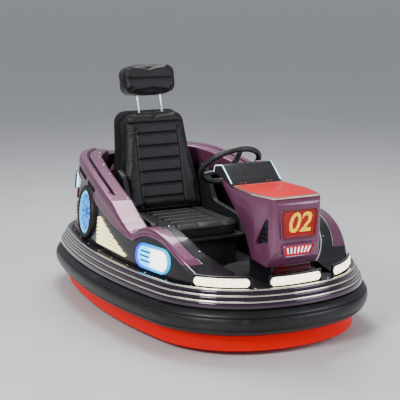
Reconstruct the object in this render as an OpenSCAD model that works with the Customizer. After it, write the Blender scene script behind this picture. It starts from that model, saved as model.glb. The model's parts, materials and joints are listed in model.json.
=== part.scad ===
// Single-seat bumper car: +X is forward, +Y is the driver's left, +Z is up, in millimetres.
// The origin is the centre of the bounding box on the floor.

/* [Bumper ring] */
// Length over the rubber
body_len = 1850; // [1780:10:1920]
// Width over the rubber
body_wid = 1180; // [1130:10:1240]
// Radius of the front curve in plan
front_r = 700; // [650:10:760]
// Radius of the side curve in plan
side_r = 2600; // [2300:50:3000]
// Radius of the rear curve in plan
rear_r = 900; // [800:10:1000]
// Radius of the front corners in plan
front_corner_r = 480; // [440:10:500]
// Radius of the rear corners in plan
rear_corner_r = 430; // [400:10:450]
// Height of the rubber's lower edge
rubber_low = 95; // [85:1:110]
// Height of the rubber section
rubber_h = 120; // [100:2:130]
// Depth of the rubber section's flat root
rubber_root = 12; // [8:1:16]
// Height of one step of the band over the rubber
band_step_h = 22; // [18:1:26]
// Depth of one step of the band
band_step_d = 13; // [10:1:16]
// Width and height of a trim bead
bead = 7; // [4:0.5:9]
// Height of the skirt's lower edge over the floor
skirt_low = 25; // [20:1:40]
// Thickness of the skirt
skirt_t = 6; // [4:1:8]

/* [Chassis] */
// Depth of the perimeter channel
channel_d = 40; // [30:1:45]
// Thickness of the perimeter channel
channel_t = 5; // [4:0.5:6]
// Side of a square floor rail
rail_w = 40; // [34:1:46]
// Wall of a floor rail
rail_t = 4; // [3:0.5:5]
// Distance between the centres of the floor rails
rail_gap = 390; // [380:2:400]
// Height of the floor pan's underside
pan_z = 160; // [156:1:166]
// Thickness of the floor pan
pan_t = 4; // [3:0.5:6]
// Radius of a tie-down hole
tie_r = 6.5; // [5:0.5:8]
// Distance between the tie-down holes along the car
tie_x = 600; // [560:10:640]

/* [Cockpit] */
// Thickness of the deck
deck_t = 6; // [4:0.5:8]
// Distance from the rear end of the cushion back to the end of the cockpit opening
cockpit_behind = 155; // [145:5:165]
// Distance from the kingpin forward to the end of the cockpit opening
cockpit_ahead = 60; // [40:5:70]
// Half width of the cockpit opening
cockpit_hw = 315; // [300:5:320]
// Corner radius of the cockpit opening
cockpit_r = 90; // [60:5:120]
// Thickness of the cockpit walls
wall_t = 5; // [4:0.5:7]

/* [Body shell] */
// Inset of the flanks from the rubber's edge at deck level
flank_in = 104; // [98:1:110]
// Inset of the inner side of the flanks
flank_back = 208; // [195:1:215]
// Lean of the flanks
flank_lean = 5.5; // [3:0.5:7]
// How far the painted fairing stands proud of the flank
fairing_proud = 9; // [6:1:14]
// Height of the tail
tail_top = 640; // [600:5:680]
// Width of the slot along the top of a haunch
slot_w = 14; // [8:1:20]
// Depth of the slot along the top of a haunch
slot_d = 24; // [12:1:30]

/* [Nose console] */
// Width of the console
nose_w = 264; // [250:2:280]
// Distance of the console's front end behind the front of the ring
nose_in = 80; // [75:1:95]
// Height of the hood plate
hood_z = 656; // [640:1:670]
// Thickness of the hood plate
hood_t = 9; // [6:1:14]
// Width of the number display
display_w = 176; // [150:2:190]
// Height of the number display
display_h = 122; // [100:2:130]

/* [Drive and wheels] */
// Distance of the kingpin behind the front of the ring
kingpin_in = 365; // [355:2:375]
// Radius of the kingpin
kingpin_r = 15; // [12:0.5:18]
// Radius of the drive wheel
drive_r = 110; // [100:1:115]
// Width of the drive wheel
drive_w = 60; // [50:1:64]
// Radius of the rear wheels
rear_wheel_r = 100; // [90:1:105]
// Width of the rear wheels
rear_wheel_w = 50; // [40:1:54]
// Distance of the rear axle ahead of the tail of the ring
rear_axle_in = 445; // [425:5:465]
// Inset of the middle of a rear wheel from the widest line of the ring
rear_track_in = 218; // [214:1:222]
// Radius of an axle
axle_r = 10; // [8:0.5:12]
// Radius of the round drive well
well_r = 172; // [168:1:176]

/* [Steering] */
// Distance of the steering wheel's centre behind the kingpin
wheel_behind = 290; // [280:2:300]
// Height of the steering wheel's centre
wheel_z = 700; // [690:2:710]
// Radius of the steering wheel's rim
wheel_r = 150; // [140:1:160]
// Radius of the rim's section
rim_r = 13; // [10:0.5:15]
// Angle of the column from upright
column_tilt = 40; // [39:0.5:41]
// Radius of the steering shaft
shaft_r = 11; // [9:0.5:13]

/* [Seat] */
// Width of the cushion
seat_w = 440; // [400:5:460]
// Distance of the rear end of the cushion ahead of the tail of the ring
seat_in = 520; // [505:5:535]
// Length of the cushion
seat_l = 425; // [405:5:445]
// Height of the seat box
seat_box_z = 300; // [290:5:310]
// Thickness of the cushion
cushion_t = 88; // [70:2:100]
// Lean of the seat back
back_lean = 13.5; // [10:0.5:16]
// Length of the seat back
back_len = 515; // [480:5:540]
// Thickness of the seat back
back_t = 96; // [80:2:110]
// Width of the headrest
head_w = 290; // [260:5:310]
// Height of the headrest
head_h = 150; // [130:5:165]
// Distance between the headrest posts
post_gap = 130; // [110:2:150]
// Radius of a headrest post
post_r = 6; // [5:0.5:8]

/* [Hidden] */
$fn = 64;

// Clearance between neighbouring pieces of the body
fit_gap = 0.3;
// Running clearance of a shaft in its bore
run_gap = 0.05;

rubber_top = rubber_low + rubber_h;
bulge = rubber_h / 2;
root_in = bulge + rubber_root;
frame_in = root_in + fit_gap;
frame_low = rubber_low + 5;
frame_top = rubber_top - 15;
band_low = rubber_top + fit_gap;
band_out = bulge / 2 - 2;
band_top = band_low + 3 * band_step_h;
band_back = root_in + 8;
deck_z = band_top;
deck_low = deck_z - deck_t;
shell_low = deck_z + fit_gap;
pan_top = pan_z + pan_t;
rail_low = pan_z - rail_w;
half_len = body_len / 2;
kingpin_x = half_len - kingpin_in;
rear_axle_x = half_len - rear_axle_in;
rear_track = body_wid / 2 - rear_track_in;
wheel_x = kingpin_x - wheel_behind;
nose_x1 = half_len - nose_in;
seat_x0 = seat_in - half_len;
seat_x1 = seat_x0 + seat_l;
cockpit_x0 = seat_x0 - cockpit_behind;
cockpit_x1 = kingpin_x + cockpit_ahead;
shaft_len = (kingpin_x - wheel_x) / sin(column_tilt) - 24;
ink = "#1b1b20";
plum = "#7c4b70";
gloss_red = "#c4191d";
glow_red = "#ff2a1c";
warm_white = "#fff0d0";
cool_white = "#dff2ff";
steel = "#8d9196";
leather = "#242427";

// Where two circles round a and b, of radii ra and rb, meet on the left of the line from a to b
function meet(a, ra, b, rb) =
    let (d = norm(b - a), u = (b - a) / d, k = (ra * ra - rb * rb + d * d) / (2 * d), h = sqrt(ra * ra - k * k))
    a + u * k + [-u.y, u.x] * h;
function heading(v) = atan2(v.y, v.x);

front_c = [half_len - front_r, 0];
rear_c = [rear_r - half_len, 0];
side_c = [0, body_wid / 2 - side_r];
front_corner_c = meet(front_c, front_r - front_corner_r, side_c, side_r - front_corner_r);
rear_corner_c = meet(side_c, side_r - rear_corner_r, rear_c, rear_r - rear_corner_r);
front_a = heading(front_corner_c - front_c);
side_a = heading(front_corner_c - side_c);
haunch_a = heading(rear_corner_c - side_c);
rear_a = heading(rear_corner_c - rear_c);

// Arcs of the plan curve: centre, radius, start angle, end angle, steps
front_arc = [front_c, front_r, -front_a, front_a, 8];
corner_arc = [front_corner_c, front_corner_r, front_a, side_a, 10];
side_arc = [side_c, side_r, side_a, haunch_a, 12];
haunch_arc = [rear_corner_c, rear_corner_r, haunch_a, rear_a, 10];
rear_arc = [rear_c, rear_r, rear_a, 360 - rear_a, 8];
function flipped(arc) = [[arc[0].x, -arc[0].y], arc[1], -arc[3], -arc[2], arc[4]];
whole_plan = [
    front_arc, corner_arc, side_arc, haunch_arc,
    rear_arc, flipped(haunch_arc), flipped(side_arc), flipped(corner_arc)
];

function part_of(arc, a0, a1) = [arc[0], arc[1], max(a0, arc[2]), min(a1, arc[3]), arc[4]];
function on_arc(arc, a, inset) = arc[0] + (arc[1] - inset) * [cos(a), sin(a)];
// Angle on the side curve at a place along the car
function side_at(x, inset) = acos(x / (side_r - inset));
// Stations along arcs, each [arc, angle]; a closed curve has none at its end
function stations(arcs, closed) = concat(
    [for (arc = arcs, k = [0:arc[4] - 1]) [arc, arc[2] + (arc[3] - arc[2]) * k / arc[4]]],
    closed ? [] : [let (arc = arcs[len(arcs) - 1]) [arc, arc[3]]]
);
function plan_points(inset) = [for (s = stations(whole_plan, true)) on_arc(s[0], s[1], inset)];

function turn(a, b) = atan2(a.x * b.y - a.y * b.x, a.x * b.x + a.y * b.y);
function unit(v) = v / norm(v);
// Outline through corners of the form [x, y, radius], with each corner rounded
function rounded(c, n = 6) = [
    for (i = [0:len(c) - 1])
        let (
            p = [c[i].x, c[i].y],
            q = c[(i + len(c) - 1) % len(c)],
            s = c[(i + 1) % len(c)],
            a = unit([q.x, q.y] - p),
            b = unit([s.x, s.y] - p),
            half = acos(a * b) / 2,
            r = c[i][2],
            o = p + unit(a + b) * r / sin(half),
            from = p + a * r / tan(half) - o,
            sweep = turn(from, p + b * r / tan(half) - o)
        )
        each r == 0
            ? [p]
            : [for (k = [0:n]) let (t = heading(from) + sweep * k / n) o + r * [cos(t), sin(t)]]
];
// Smooth curve through the points p, with n steps between neighbours
function curve(p, n = 4) = concat([
    for (i = [0:len(p) - 2], k = [0:n - 1])
        let (
            a = p[max(i - 1, 0)],
            b = p[i],
            c = p[i + 1],
            d = p[min(i + 2, len(p) - 1)],
            t = k / n
        )
        0.5 * (2 * b + (c - a) * t + (2 * a - 5 * b + 4 * c - d) * t * t + (3 * b - a - 3 * c + d) * t * t * t)
], [p[len(p) - 1]]);
function shifted(p, d) = [for (q = p) q + d];
function backwards(p) = [for (k = [len(p) - 1:-1:0]) p[k]];

module both_sides() {
    children();
    mirror([0, 1, 0]) children();
}
// A section of points [inset, height], anticlockwise seen along the curve, swept along arcs of the plan curve
module sweep(section, arcs, closed = false) {
    at = stations(arcs, closed);
    n = len(section);
    m = len(at);
    points = [for (s = at, q = section) concat(on_arc(s[0], s[1], q[0]), q[1])];
    sides = [for (i = [0:m - (closed ? 1 : 2)], j = [0:n - 1])
        let (a = i * n, b = (i + 1) % m * n, k = (j + 1) % n) [a + j, a + k, b + k, b + j]];
    ends = closed ? [] : [[for (j = [n - 1:-1:0]) j], [for (j = [0:n - 1]) (m - 1) * n + j]];
    polyhedron(points, concat(sides, ends));
}
module plan_plate(inset, z, t) {
    translate([0, 0, z]) linear_extrude(t) polygon(plan_points(inset));
}
// A band of the plan curve between two insets
module plan_ring(inset0, inset1, z, t) {
    translate([0, 0, z]) linear_extrude(t) difference() {
        polygon(plan_points(inset0));
        polygon(plan_points(inset1));
    }
}
// An outline in the X-Z plane, drawn across the car
module across(y0, y1) {
    translate([0, y1, 0]) rotate([90, 0, 0]) linear_extrude(y1 - y0) children();
}
// Puts a piece that faces +X on an arc of the plan curve, leaning with the flank
module on_flank(arc, a, z) {
    p = on_arc(arc, a, flank_in + (z - deck_z) * tan(flank_lean));
    translate([p.x, p.y, z]) rotate([0, 0, a]) rotate([0, -flank_lean, 0]) children();
}
// A flat outline in local Y and Z, from depth x0 to x1 along local X
module facing(x0, x1) {
    translate([x0, 0, 0]) rotate([90, 0, 90]) linear_extrude(x1 - x0) children();
}
module slab(w, h, r) {
    polygon(rounded([[-w / 2, -h / 2, r], [w / 2, -h / 2, r], [w / 2, h / 2, r], [-w / 2, h / 2, r]]));
}

// Upright steel hoop behind the rubber
module frame_hoop() {
    color(steel) plan_ring(frame_in, frame_in + channel_t, frame_low, frame_top - frame_low);
}
// Flanges that make the hoop a channel, at its lower and upper edge
module frame_flanges() {
    color(steel) for (z = [frame_low, frame_top - channel_t])
        plan_ring(frame_in + channel_t + fit_gap, frame_in + channel_d, z, channel_t);
}
module floor_rails() {
    color(steel) difference() {
        intersection() {
            plan_plate(frame_in + channel_t + fit_gap, rail_low, rail_w);
            both_sides() translate([-half_len, rail_gap / 2 - rail_w / 2, rail_low])
                difference() {
                    cube([body_len, rail_w, rail_w]);
                    translate([-1, rail_t, rail_t]) cube([body_len + 2, rail_w - 2 * rail_t, rail_w - 2 * rail_t]);
                }
        }
        for (x = [-tie_x / 2, tie_x / 2], y = [-rail_gap / 2, rail_gap / 2])
            translate([x, y, rail_low - 1]) cylinder(r = tie_r, h = rail_t + 2);
    }
}

wheel_hole_l = 2 * rear_wheel_r + 30;
wheel_hole_w = rear_wheel_w + 30;
module floor_pan() {
    color(ink) difference() {
        plan_plate(frame_in + channel_t + fit_gap, pan_z, pan_t);
        translate([kingpin_x, 0, pan_z - 1]) cylinder(r = well_r - wall_t, h = pan_t + 2);
        for (s = [-1, 1])
            translate([-rear_axle_x - wheel_hole_l / 2, s * rear_track - wheel_hole_w / 2, pan_z - 1])
                cube([wheel_hole_l, wheel_hole_w, pan_t + 2]);
    }
}

axle_beam_y = rear_track - rear_wheel_w / 2 - 8;
axle_end_y = rear_track + rear_wheel_w / 2 + 4;
module rear_axle() {
    beam_h = 2 * (rail_low - fit_gap - rear_wheel_r);
    color(steel) {
        translate([-rear_axle_x - beam_h / 2, -axle_beam_y, rear_wheel_r - beam_h / 2])
            cube([beam_h, 2 * axle_beam_y, beam_h]);
        both_sides() translate([-rear_axle_x, axle_beam_y - 10, rear_wheel_r]) rotate([-90, 0, 0])
            cylinder(r = axle_r, h = axle_end_y - axle_beam_y + 10);
        both_sides() translate([-rear_axle_x, axle_end_y, rear_wheel_r]) rotate([-90, 0, 0])
            cylinder(r = axle_r + 6, h = 5);
    }
}

bridge_t = 24;
bridge_z = deck_low - fit_gap - bridge_t;
bridge_plate_t = 8;
// Round plate in the top of the drive well, with the kingpin's boss and four ribs
module kingpin_bridge() {
    color(steel) translate([kingpin_x, 0, bridge_z]) difference() {
        union() {
            translate([0, 0, bridge_t - bridge_plate_t]) cylinder(r = well_r - fit_gap, h = bridge_plate_t);
            cylinder(r = kingpin_r + 22, h = bridge_t);
            for (a = [45, 135]) rotate([0, 0, a]) translate([-well_r + 30, -4, 6])
                cube([2 * well_r - 60, 8, bridge_t - 6 - bridge_plate_t / 2]);
        }
        translate([0, 0, -1]) cylinder(r = kingpin_r + run_gap, h = bridge_t + 2);
    }
}

// Section of the rubber: a flat root and a round bulge with two grooves
groove = 5;
function bulge_at(a) = [bulge - bulge * cos(a), rubber_low + bulge + bulge * sin(a)];
rubber_section = concat(
    [[root_in, rubber_low], [bulge, rubber_low]],
    [for (a = [-72, -54]) bulge_at(a)], [bulge_at(-36), bulge_at(-27) + [groove, 0], bulge_at(-22)],
    [for (a = [-8, 8]) bulge_at(a)], [bulge_at(22), bulge_at(27) + [groove, 0], bulge_at(36)],
    [for (a = [54, 72]) bulge_at(a)],
    [[bulge, rubber_top], [root_in, rubber_top]]
);
module bumper_rubber() {
    color(ink) sweep(rubber_section, whole_plan, true);
}

module bumper_band() {
    color("#3a2740") for (k = [0:2])
        plan_ring(band_out + k * band_step_d, band_back, band_low + k * band_step_h, band_step_h);
}

module band_trim() {
    color("#e8dcc0") for (k = [1:3])
        plan_ring(band_out + k * band_step_d - fit_gap - bead, band_out + k * band_step_d - fit_gap,
            band_low + k * band_step_h + fit_gap, bead);
}

module underglow_skirt() {
    color(glow_red) plan_ring(root_in - skirt_t, root_in, skirt_low, rubber_low - fit_gap - skirt_low);
}

// Cockpit opening, made larger all round by g
module cockpit_outline(g) {
    difference() {
        polygon(rounded([
            [cockpit_x0 - g, -cockpit_hw - g, cockpit_r + g], [cockpit_x1 + g, -cockpit_hw - g, cockpit_r + g],
            [cockpit_x1 + g, cockpit_hw + g, cockpit_r + g], [cockpit_x0 - g, cockpit_hw + g, cockpit_r + g]
        ]));
        translate([kingpin_x, 0]) circle(r = well_r + wall_t - g);
        translate([kingpin_x, g - well_r - wall_t]) square([body_len, 2 * (well_r + wall_t - g)]);
    }
}
module deck() {
    color(ink) difference() {
        plan_plate(band_back + fit_gap, deck_low, deck_t);
        translate([0, 0, deck_low - 1]) linear_extrude(deck_t + 2) cockpit_outline(0);
        translate([kingpin_x, 0, deck_low - 1]) cylinder(r = kingpin_r + 20, h = deck_t + 2);
    }
}
module cockpit_tub() {
    color(ink) translate([0, 0, pan_top]) linear_extrude(deck_low - pan_top) difference() {
        cockpit_outline(wall_t);
        cockpit_outline(0);
    }
}

// Lines of the side: each point has its place along the car as a share of half the length, and its height
function along(p) = [for (q = p) [q.x * half_len, q.y]];
waist = [0.25, 396];
waist_top = [0.24, 424];
// Lower edge of the painted fairing, from the tail to the waist
haunch_edge = curve(along([
    [-0.97, 585], [-0.81, 580], [-0.54, 548], [-0.325, 512], [-0.045, 448], [0.13, 412], waist
]));
// Lower edge of the fender over the oval lamp
fender_edge = curve(along([
    waist, [0.325, 424], [0.4, 438], [0.51, 424], [0.605, 380], [0.69, 322], [0.755, shell_low]
]));
// Top line of the fairing, from the tail to the tip of the fender
haunch_line = curve(along([
    [-0.97, 664], [-0.81, 668], [-0.54, 645], [-0.27, 598], [0, 528], [0.15, 456], waist_top
]));
fender_line = curve(along([
    waist_top, [0.315, 462], [0.4, 474], [0.53, 446], [0.65, 382], [0.745, 318], [0.813, shell_low]
]));
lower_edge = concat(haunch_edge, fender_edge);
top_line = concat(haunch_line, fender_line);
side_sweep_from = 30;
side_sweep_to = 148;
side_shell_arcs = [
    part_of(corner_arc, side_sweep_from, 180), side_arc, part_of(haunch_arc, 0, side_sweep_to)
];
sweep_h = 500;
module flank_wall(out, back, arcs) {
    lean = sweep_h * tan(flank_lean);
    sweep([
        [back, shell_low], [out, shell_low], [out + lean, shell_low + sweep_h], [back + lean, shell_low + sweep_h]
    ], arcs);
}

// Lamps on each flank: place as a share of half the length, height, length, height of the outline, pocket's depth
oval = [0.432, 350, 250, 112, 16];
round_lamp = [-0.365, 418, 264, 264, 26];
// Lamps on each rear corner: angle on the curve, height, length, height of the outline, depth of the pocket
block = [128, 532, 196, 78, 14];
marker = [116, 466, 74, 46, 12];
pill = [128, 385, 66, 104, 14];
// Tall end and tip of the slatted panel on the flank
slat_tall_x = -0.151 * half_len;
slat_tip_x = 0.211 * half_len;
slat_low = 312;
slat_high = 442;
slat_d = 14;

module at_side(lamp) { on_flank(side_arc, side_at(lamp[0] * half_len, flank_in), lamp[1]) children(); }
module at_haunch(lamp) { on_flank(haunch_arc, lamp[0], lamp[1]) children(); }
module slat_place() {
    on_flank(side_arc, side_at((slat_tall_x + slat_tip_x) / 2, flank_in), slat_low) children();
}
slat_half = (slat_tip_x - slat_tall_x) / 2;
// Triangular outline of the slatted panel, made larger all round by g
module slat_outline(g) {
    polygon(rounded([
        [-slat_half - 6 * g, -g, 4 + g], [slat_half + g, -g, 14 + g],
        [slat_half + g, slat_high - slat_low + 2 * g, 10 + g]
    ]));
}

module flank_pockets() {
    at_side(oval) facing(-oval[4], 60) slab(oval[2], oval[3], oval[3] / 2 - 1);
    at_side(round_lamp) facing(-round_lamp[4], 60) circle(r = round_lamp[2] / 2);
    at_haunch(block) facing(-block[4], 60) slab(block[2], block[3], 10);
    at_haunch(marker) facing(-marker[4], 60) slab(marker[2], marker[3], 8);
    at_haunch(pill) facing(-pill[4], 60) slab(pill[2], pill[3], pill[2] / 2 - 1);
    slat_place() facing(-slat_d, 60) slat_outline(0);
}
module flank() {
    color(ink) difference() {
        intersection() {
            flank_wall(flank_in, flank_back, side_shell_arcs);
            across(0, body_wid) polygon(concat(
                [[haunch_edge[0].x, shell_low]], shifted(lower_edge, [0, -fit_gap])
            ));
        }
        flank_pockets();
    }
}
slot_front = -0.065 * half_len;
module fairing() {
    color(plum) difference() {
        intersection() {
            flank_wall(flank_in - fairing_proud, flank_back, side_shell_arcs);
            across(0, body_wid) polygon(concat(lower_edge, backwards(top_line)));
        }
        intersection() {
            flank_wall(flank_in + 28, flank_in + 28 + slot_w, side_shell_arcs);
            across(0, body_wid) polygon(concat(
                shifted(haunch_line, [0, -slot_d]), [[slot_front, sweep_h * 2], [haunch_line[0].x, sweep_h * 2]]
            ));
        }
        at_side(round_lamp) facing(-round_lamp[4], 60) circle(r = round_lamp[2] / 2);
        at_haunch(block) facing(-block[4], 60) slab(block[2], block[3], 10);
    }
}
module flank_left() { flank(); }
module flank_right() { mirror([0, 1, 0]) flank(); }
module fairing_left() { fairing(); }
module fairing_right() { mirror([0, 1, 0]) fairing(); }

sill_t = 7;
module sill_trims() {
    low = curve(along([[-0.41, 286], [-0.52, 288], [-0.65, 294], [-0.78, 308], [-0.97, 340]]));
    color(plum) both_sides() difference() {
        intersection() {
            flank_wall(flank_in - sill_t, flank_in - fit_gap, [side_arc, part_of(haunch_arc, 0, side_sweep_to)]);
            across(0, body_wid) polygon(concat(low, backwards(shifted(low, [0, 20]))));
        }
        at_side(round_lamp) facing(-round_lamp[4], 60) circle(r = round_lamp[2] / 2 + fit_gap);
    }
}

// The sweep of the tail stops short of the flank's end by this angle
tail_gap_a = 0.07;
tail_arc = part_of(haunch_arc, side_sweep_to + tail_gap_a, 180);
tail_arcs = [tail_arc, rear_arc, flipped(tail_arc)];
display_z = 500;
tail_display_w = 250;
tail_display_h = 196;
tail_pocket = 16;
// Shield-shaped outline of the tail display, made smaller all round by g
module shield(g) {
    w = tail_display_w / 2 - g;
    h = tail_display_h / 2 - g;
    polygon(rounded([[-w * 0.72, -h, 12], [w * 0.72, -h, 12], [w, 0.1 * h, 14], [w * 0.86, h, 12], [-w * 0.86, h, 12],
        [-w, 0.1 * h, 14]]));
}
module at_tail(z) {
    translate([on_arc(rear_arc, 180, flank_in + (z - deck_z) * tan(flank_lean)).x, 0, z])
        rotate([0, 0, 180]) rotate([0, -flank_lean, 0]) children();
}
module tail_panel() {
    color(ink) difference() {
        intersection() {
            flank_wall(flank_in, flank_back, tail_arcs);
            translate([-body_len, -body_wid / 2, 0]) cube([body_len, body_wid, tail_top]);
        }
        at_tail(display_z) facing(-tail_pocket, 60) shield(0);
    }
}
module tail_display() {
    color(glow_red) at_tail(display_z) difference() {
        facing(-tail_pocket + fit_gap, 5) shield(fit_gap);
        facing(0, 10) shield(14);
        for (s = [-1, 1]) facing(-4, 1) rotate(s * 42) square([16, 150], center = true);
    }
}

cover_front = seat_x0 - 213;
module rear_cover() {
    line = curve(concat(along([[-0.97, 560], [-0.865, 610], [-0.78, 628], [-0.715, 612]]), [[cover_front, 560]]));
    color(plum) intersection() {
        plan_plate(flank_back + sweep_h * tan(flank_lean) + fit_gap, shell_low, sweep_h);
        across(-body_wid / 2, body_wid / 2) polygon(concat(
            line, [[cover_front, shell_low], [line[0].x, shell_low]]
        ));
    }
}

// A lamp that fills its pocket and stands proud by p
module block_lamps() {
    color(cool_white) both_sides() at_haunch(block)
        facing(-block[4] + fit_gap, 6) slab(block[2] - 2 * fit_gap, block[3] - 2 * fit_gap, 10);
}
module marker_lamps() {
    color("#ff5a22") both_sides() at_haunch(marker)
        facing(-marker[4] + fit_gap, 5) slab(marker[2] - 2 * fit_gap, marker[3] - 2 * fit_gap, 8);
}
module pill_lamps() {
    color(cool_white) both_sides() at_haunch(pill)
        facing(-pill[4] + fit_gap, 6) slab(pill[2] - 2 * fit_gap, pill[3] - 2 * fit_gap, pill[2] / 2 - 2);
}
bezel_w = 13;
module lamp_bezels() {
    color("#b9c6d6") both_sides() at_side(oval) difference() {
        facing(-oval[4] + fit_gap, 12) slab(oval[2] - 2 * fit_gap, oval[3] - 2 * fit_gap, oval[3] / 2 - 2);
        facing(-oval[4], 20) slab(oval[2] - 2 * bezel_w, oval[3] - 2 * bezel_w, oval[3] / 2 - bezel_w - 1);
    }
}
fins = 5;
module oval_lamps() {
    lens_h = oval[3] - 2 * bezel_w - 2 * fit_gap;
    color(warm_white) both_sides() at_side(oval) difference() {
        facing(-oval[4] + fit_gap, 6) slab(oval[2] - 2 * bezel_w - 2 * fit_gap, lens_h, lens_h / 2 - 1);
        for (k = [1:fins]) translate([0, 0, -lens_h / 2 + k * lens_h / (fins + 1)])
            facing(0, 10) square([oval[2], 3], center = true);
    }
}
slats = 6;
module slat_panels() {
    h = slat_high - slat_low;
    color(warm_white) both_sides() slat_place() difference() {
        facing(-slat_d + fit_gap, 6) slat_outline(-fit_gap);
        for (k = [1:slats]) translate([0, 0, k * h / (slats + 1)])
            facing(-3, 10) square([4 * slat_half, 5], center = true);
    }
}
tyre_ring = 26;
module wheel_lamp_tyres() {
    r = round_lamp[2] / 2 - fit_gap;
    color("#101012") both_sides() at_side(round_lamp) difference() {
        facing(-round_lamp[4] + fit_gap, 20) circle(r = r);
        facing(-round_lamp[4], 30) circle(r = r - tyre_ring);
    }
}
module wheel_lamps() {
    r = round_lamp[2] / 2 - tyre_ring - 2 * fit_gap;
    color(cool_white) both_sides() at_side(round_lamp) difference() {
        facing(-round_lamp[4] + fit_gap, 14) circle(r = r);
        facing(6, 20) circle(r = r - 16);
    }
}

// Front light bars: curve of the plan, start angle, end angle
bars = [[front_arc, -12, 12], [corner_arc, 20, 56], [flipped(corner_arc), -56, -20]];
bar_h = 54;
bar_out = band_back + 1;
bar_back = flank_in - fairing_proud - fit_gap;
module light_bars() {
    color(warm_white) for (bar = bars)
        sweep([
            [bar_back, shell_low], [bar_out, shell_low], [bar_out + 3, shell_low + bar_h], [bar_back, shell_low + bar_h]
        ], [part_of(bar[0], bar[1], bar[2])]);
}

pillar_w = 190;
pillar_x0 = nose_x1 - 235;
pillar_x1 = nose_x1 - 53;
// Top edge of the pillar, on which the console lies
pillar_top = [[pillar_x1, 360], [nose_x1 - 155, 378], [pillar_x0 + 22, 474], [pillar_x0 + 6, 500]];
module nose_pillar() {
    color(ink) across(-pillar_w / 2, pillar_w / 2)
        polygon(concat([[pillar_x0, shell_low], [pillar_x1, shell_low]], pillar_top));
}
module nose_intake() {
    color("#2a1216") difference() {
        across(-pillar_w / 2 + 12, pillar_w / 2 - 12)
            polygon([
                [pillar_x1 + fit_gap, shell_low + bar_h * 0.6], [pillar_x1 + 22, shell_low + bar_h * 0.6 + 8],
                [pillar_x1 + 24, pillar_top[0].y - 10], [pillar_x1 + fit_gap, pillar_top[0].y - 2]
            ]);
        for (k = [0:3]) translate([pillar_x1 + 12, -pillar_w / 2, 328 + k * 7]) cube([20, pillar_w, 3]);
    }
}
// Rear end of the hood plate
hood_x0 = nose_x1 - 333;
// Lower rear corner of the dash, where it lies on the console
dash_foot = [hood_x0 - 92, hood_z + 21];
// Side view of the console: nose, hood line, dash end, lower rear edge
cowl_side = rounded([
    [pillar_x1 + 2, pillar_top[0].y + fit_gap, 0], [nose_x1 - 6, hood_z - 216, 40], [nose_x1, hood_z - 30, 30],
    [nose_x1 - 20, hood_z - hood_t - fit_gap, 6], [hood_x0 - 2, hood_z - hood_t - fit_gap, 4],
    [dash_foot.x - 2, dash_foot.y - 1, 4],
    [dash_foot.x + 4, hood_z - 2, 4], [pillar_top[3].x, pillar_top[3].y + fit_gap, 0], [pillar_top[2].x, pillar_top[2].y + fit_gap, 0],
    [pillar_top[1].x, pillar_top[1].y + fit_gap, 0], [pillar_top[0].x, pillar_top[0].y + fit_gap, 0]
]);
module nose_plan(g) {
    w = nose_w / 2 - g;
    polygon(rounded([
        [dash_foot.x - 20, -w * 0.94, 6], [nose_x1 - 145, -w, 90], [nose_x1 - g, -w * 0.86, 34],
        [nose_x1 - g, w * 0.86, 34], [nose_x1 - 145, w, 90], [dash_foot.x - 20, w * 0.94, 6]
    ]));
}
display_mid = hood_z - 111;
module at_display() {
    translate([nose_x1, 0, display_mid]) children();
}
module display_outline(g) {
    w = display_w / 2 - g;
    h = display_h / 2 - g;
    polygon(rounded([
        [-w * 0.9, -h, 8], [w * 0.9, -h, 8], [w, h * 0.7, 8], [w * 0.92, h, 8], [-w * 0.92, h, 8], [-w, h * 0.7, 8]
    ]));
}
module nose_cowl() {
    color(plum) difference() {
        intersection() {
            across(-nose_w / 2, nose_w / 2) polygon(cowl_side);
            linear_extrude(900) nose_plan(0);
        }
        at_display() facing(-20, 20) display_outline(0);
        both_sides() translate([0, -nose_w / 2, 0]) rotate([90, 0, 0]) translate([0, 0, -10])
            linear_extrude(40) polygon(rounded([
                [nose_x1 - 139, hood_z - 216, 6], [nose_x1 - 45, hood_z - 186, 8], [nose_x1 - 45, hood_z - 66, 12]
            ]));
    }
}
module nose_hood() {
    color(gloss_red) translate([0, 0, hood_z - hood_t]) linear_extrude(hood_t)
        polygon(rounded([
            [hood_x0, -nose_w / 2 + 8, 10], [nose_x1 - 145, -nose_w / 2 - 2, 90], [nose_x1 - 14, -nose_w / 2 + 22, 22],
            [nose_x1 - 14, nose_w / 2 - 22, 22], [nose_x1 - 145, nose_w / 2 + 2, 90], [hood_x0, nose_w / 2 - 8, 10]
        ]));
}
module number_display() {
    color("#3a0608") at_display() difference() {
        facing(-20 + fit_gap, 6) display_outline(fit_gap);
        facing(2, 10) display_outline(9);
    }
}

// A hole of radius r along the steering column
module column_hole(r) {
    translate([wheel_x, 0, wheel_z]) rotate([0, 180 - column_tilt, 0]) cylinder(r = r, h = shaft_len + 60);
}
dash_w = 250;
module dashboard() {
    color(ink) across(-dash_w / 2, dash_w / 2) polygon(rounded([
        [dash_foot.x - 80, hood_z + 34, 8], [dash_foot.x - 68, hood_z + 68, 12], [dash_foot.x, hood_z + 78, 20],
        [hood_x0 - 2, hood_z + 2, 6], [hood_x0 - 3, hood_z - hood_t + 0.5, 1],
        [dash_foot.x - fit_gap, dash_foot.y, 2]
    ]));
}
kingpin_top = 336;
housing_r = 34;
// Distance along the column from the wheel's centre to the housing
housing_from = 96;
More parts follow.
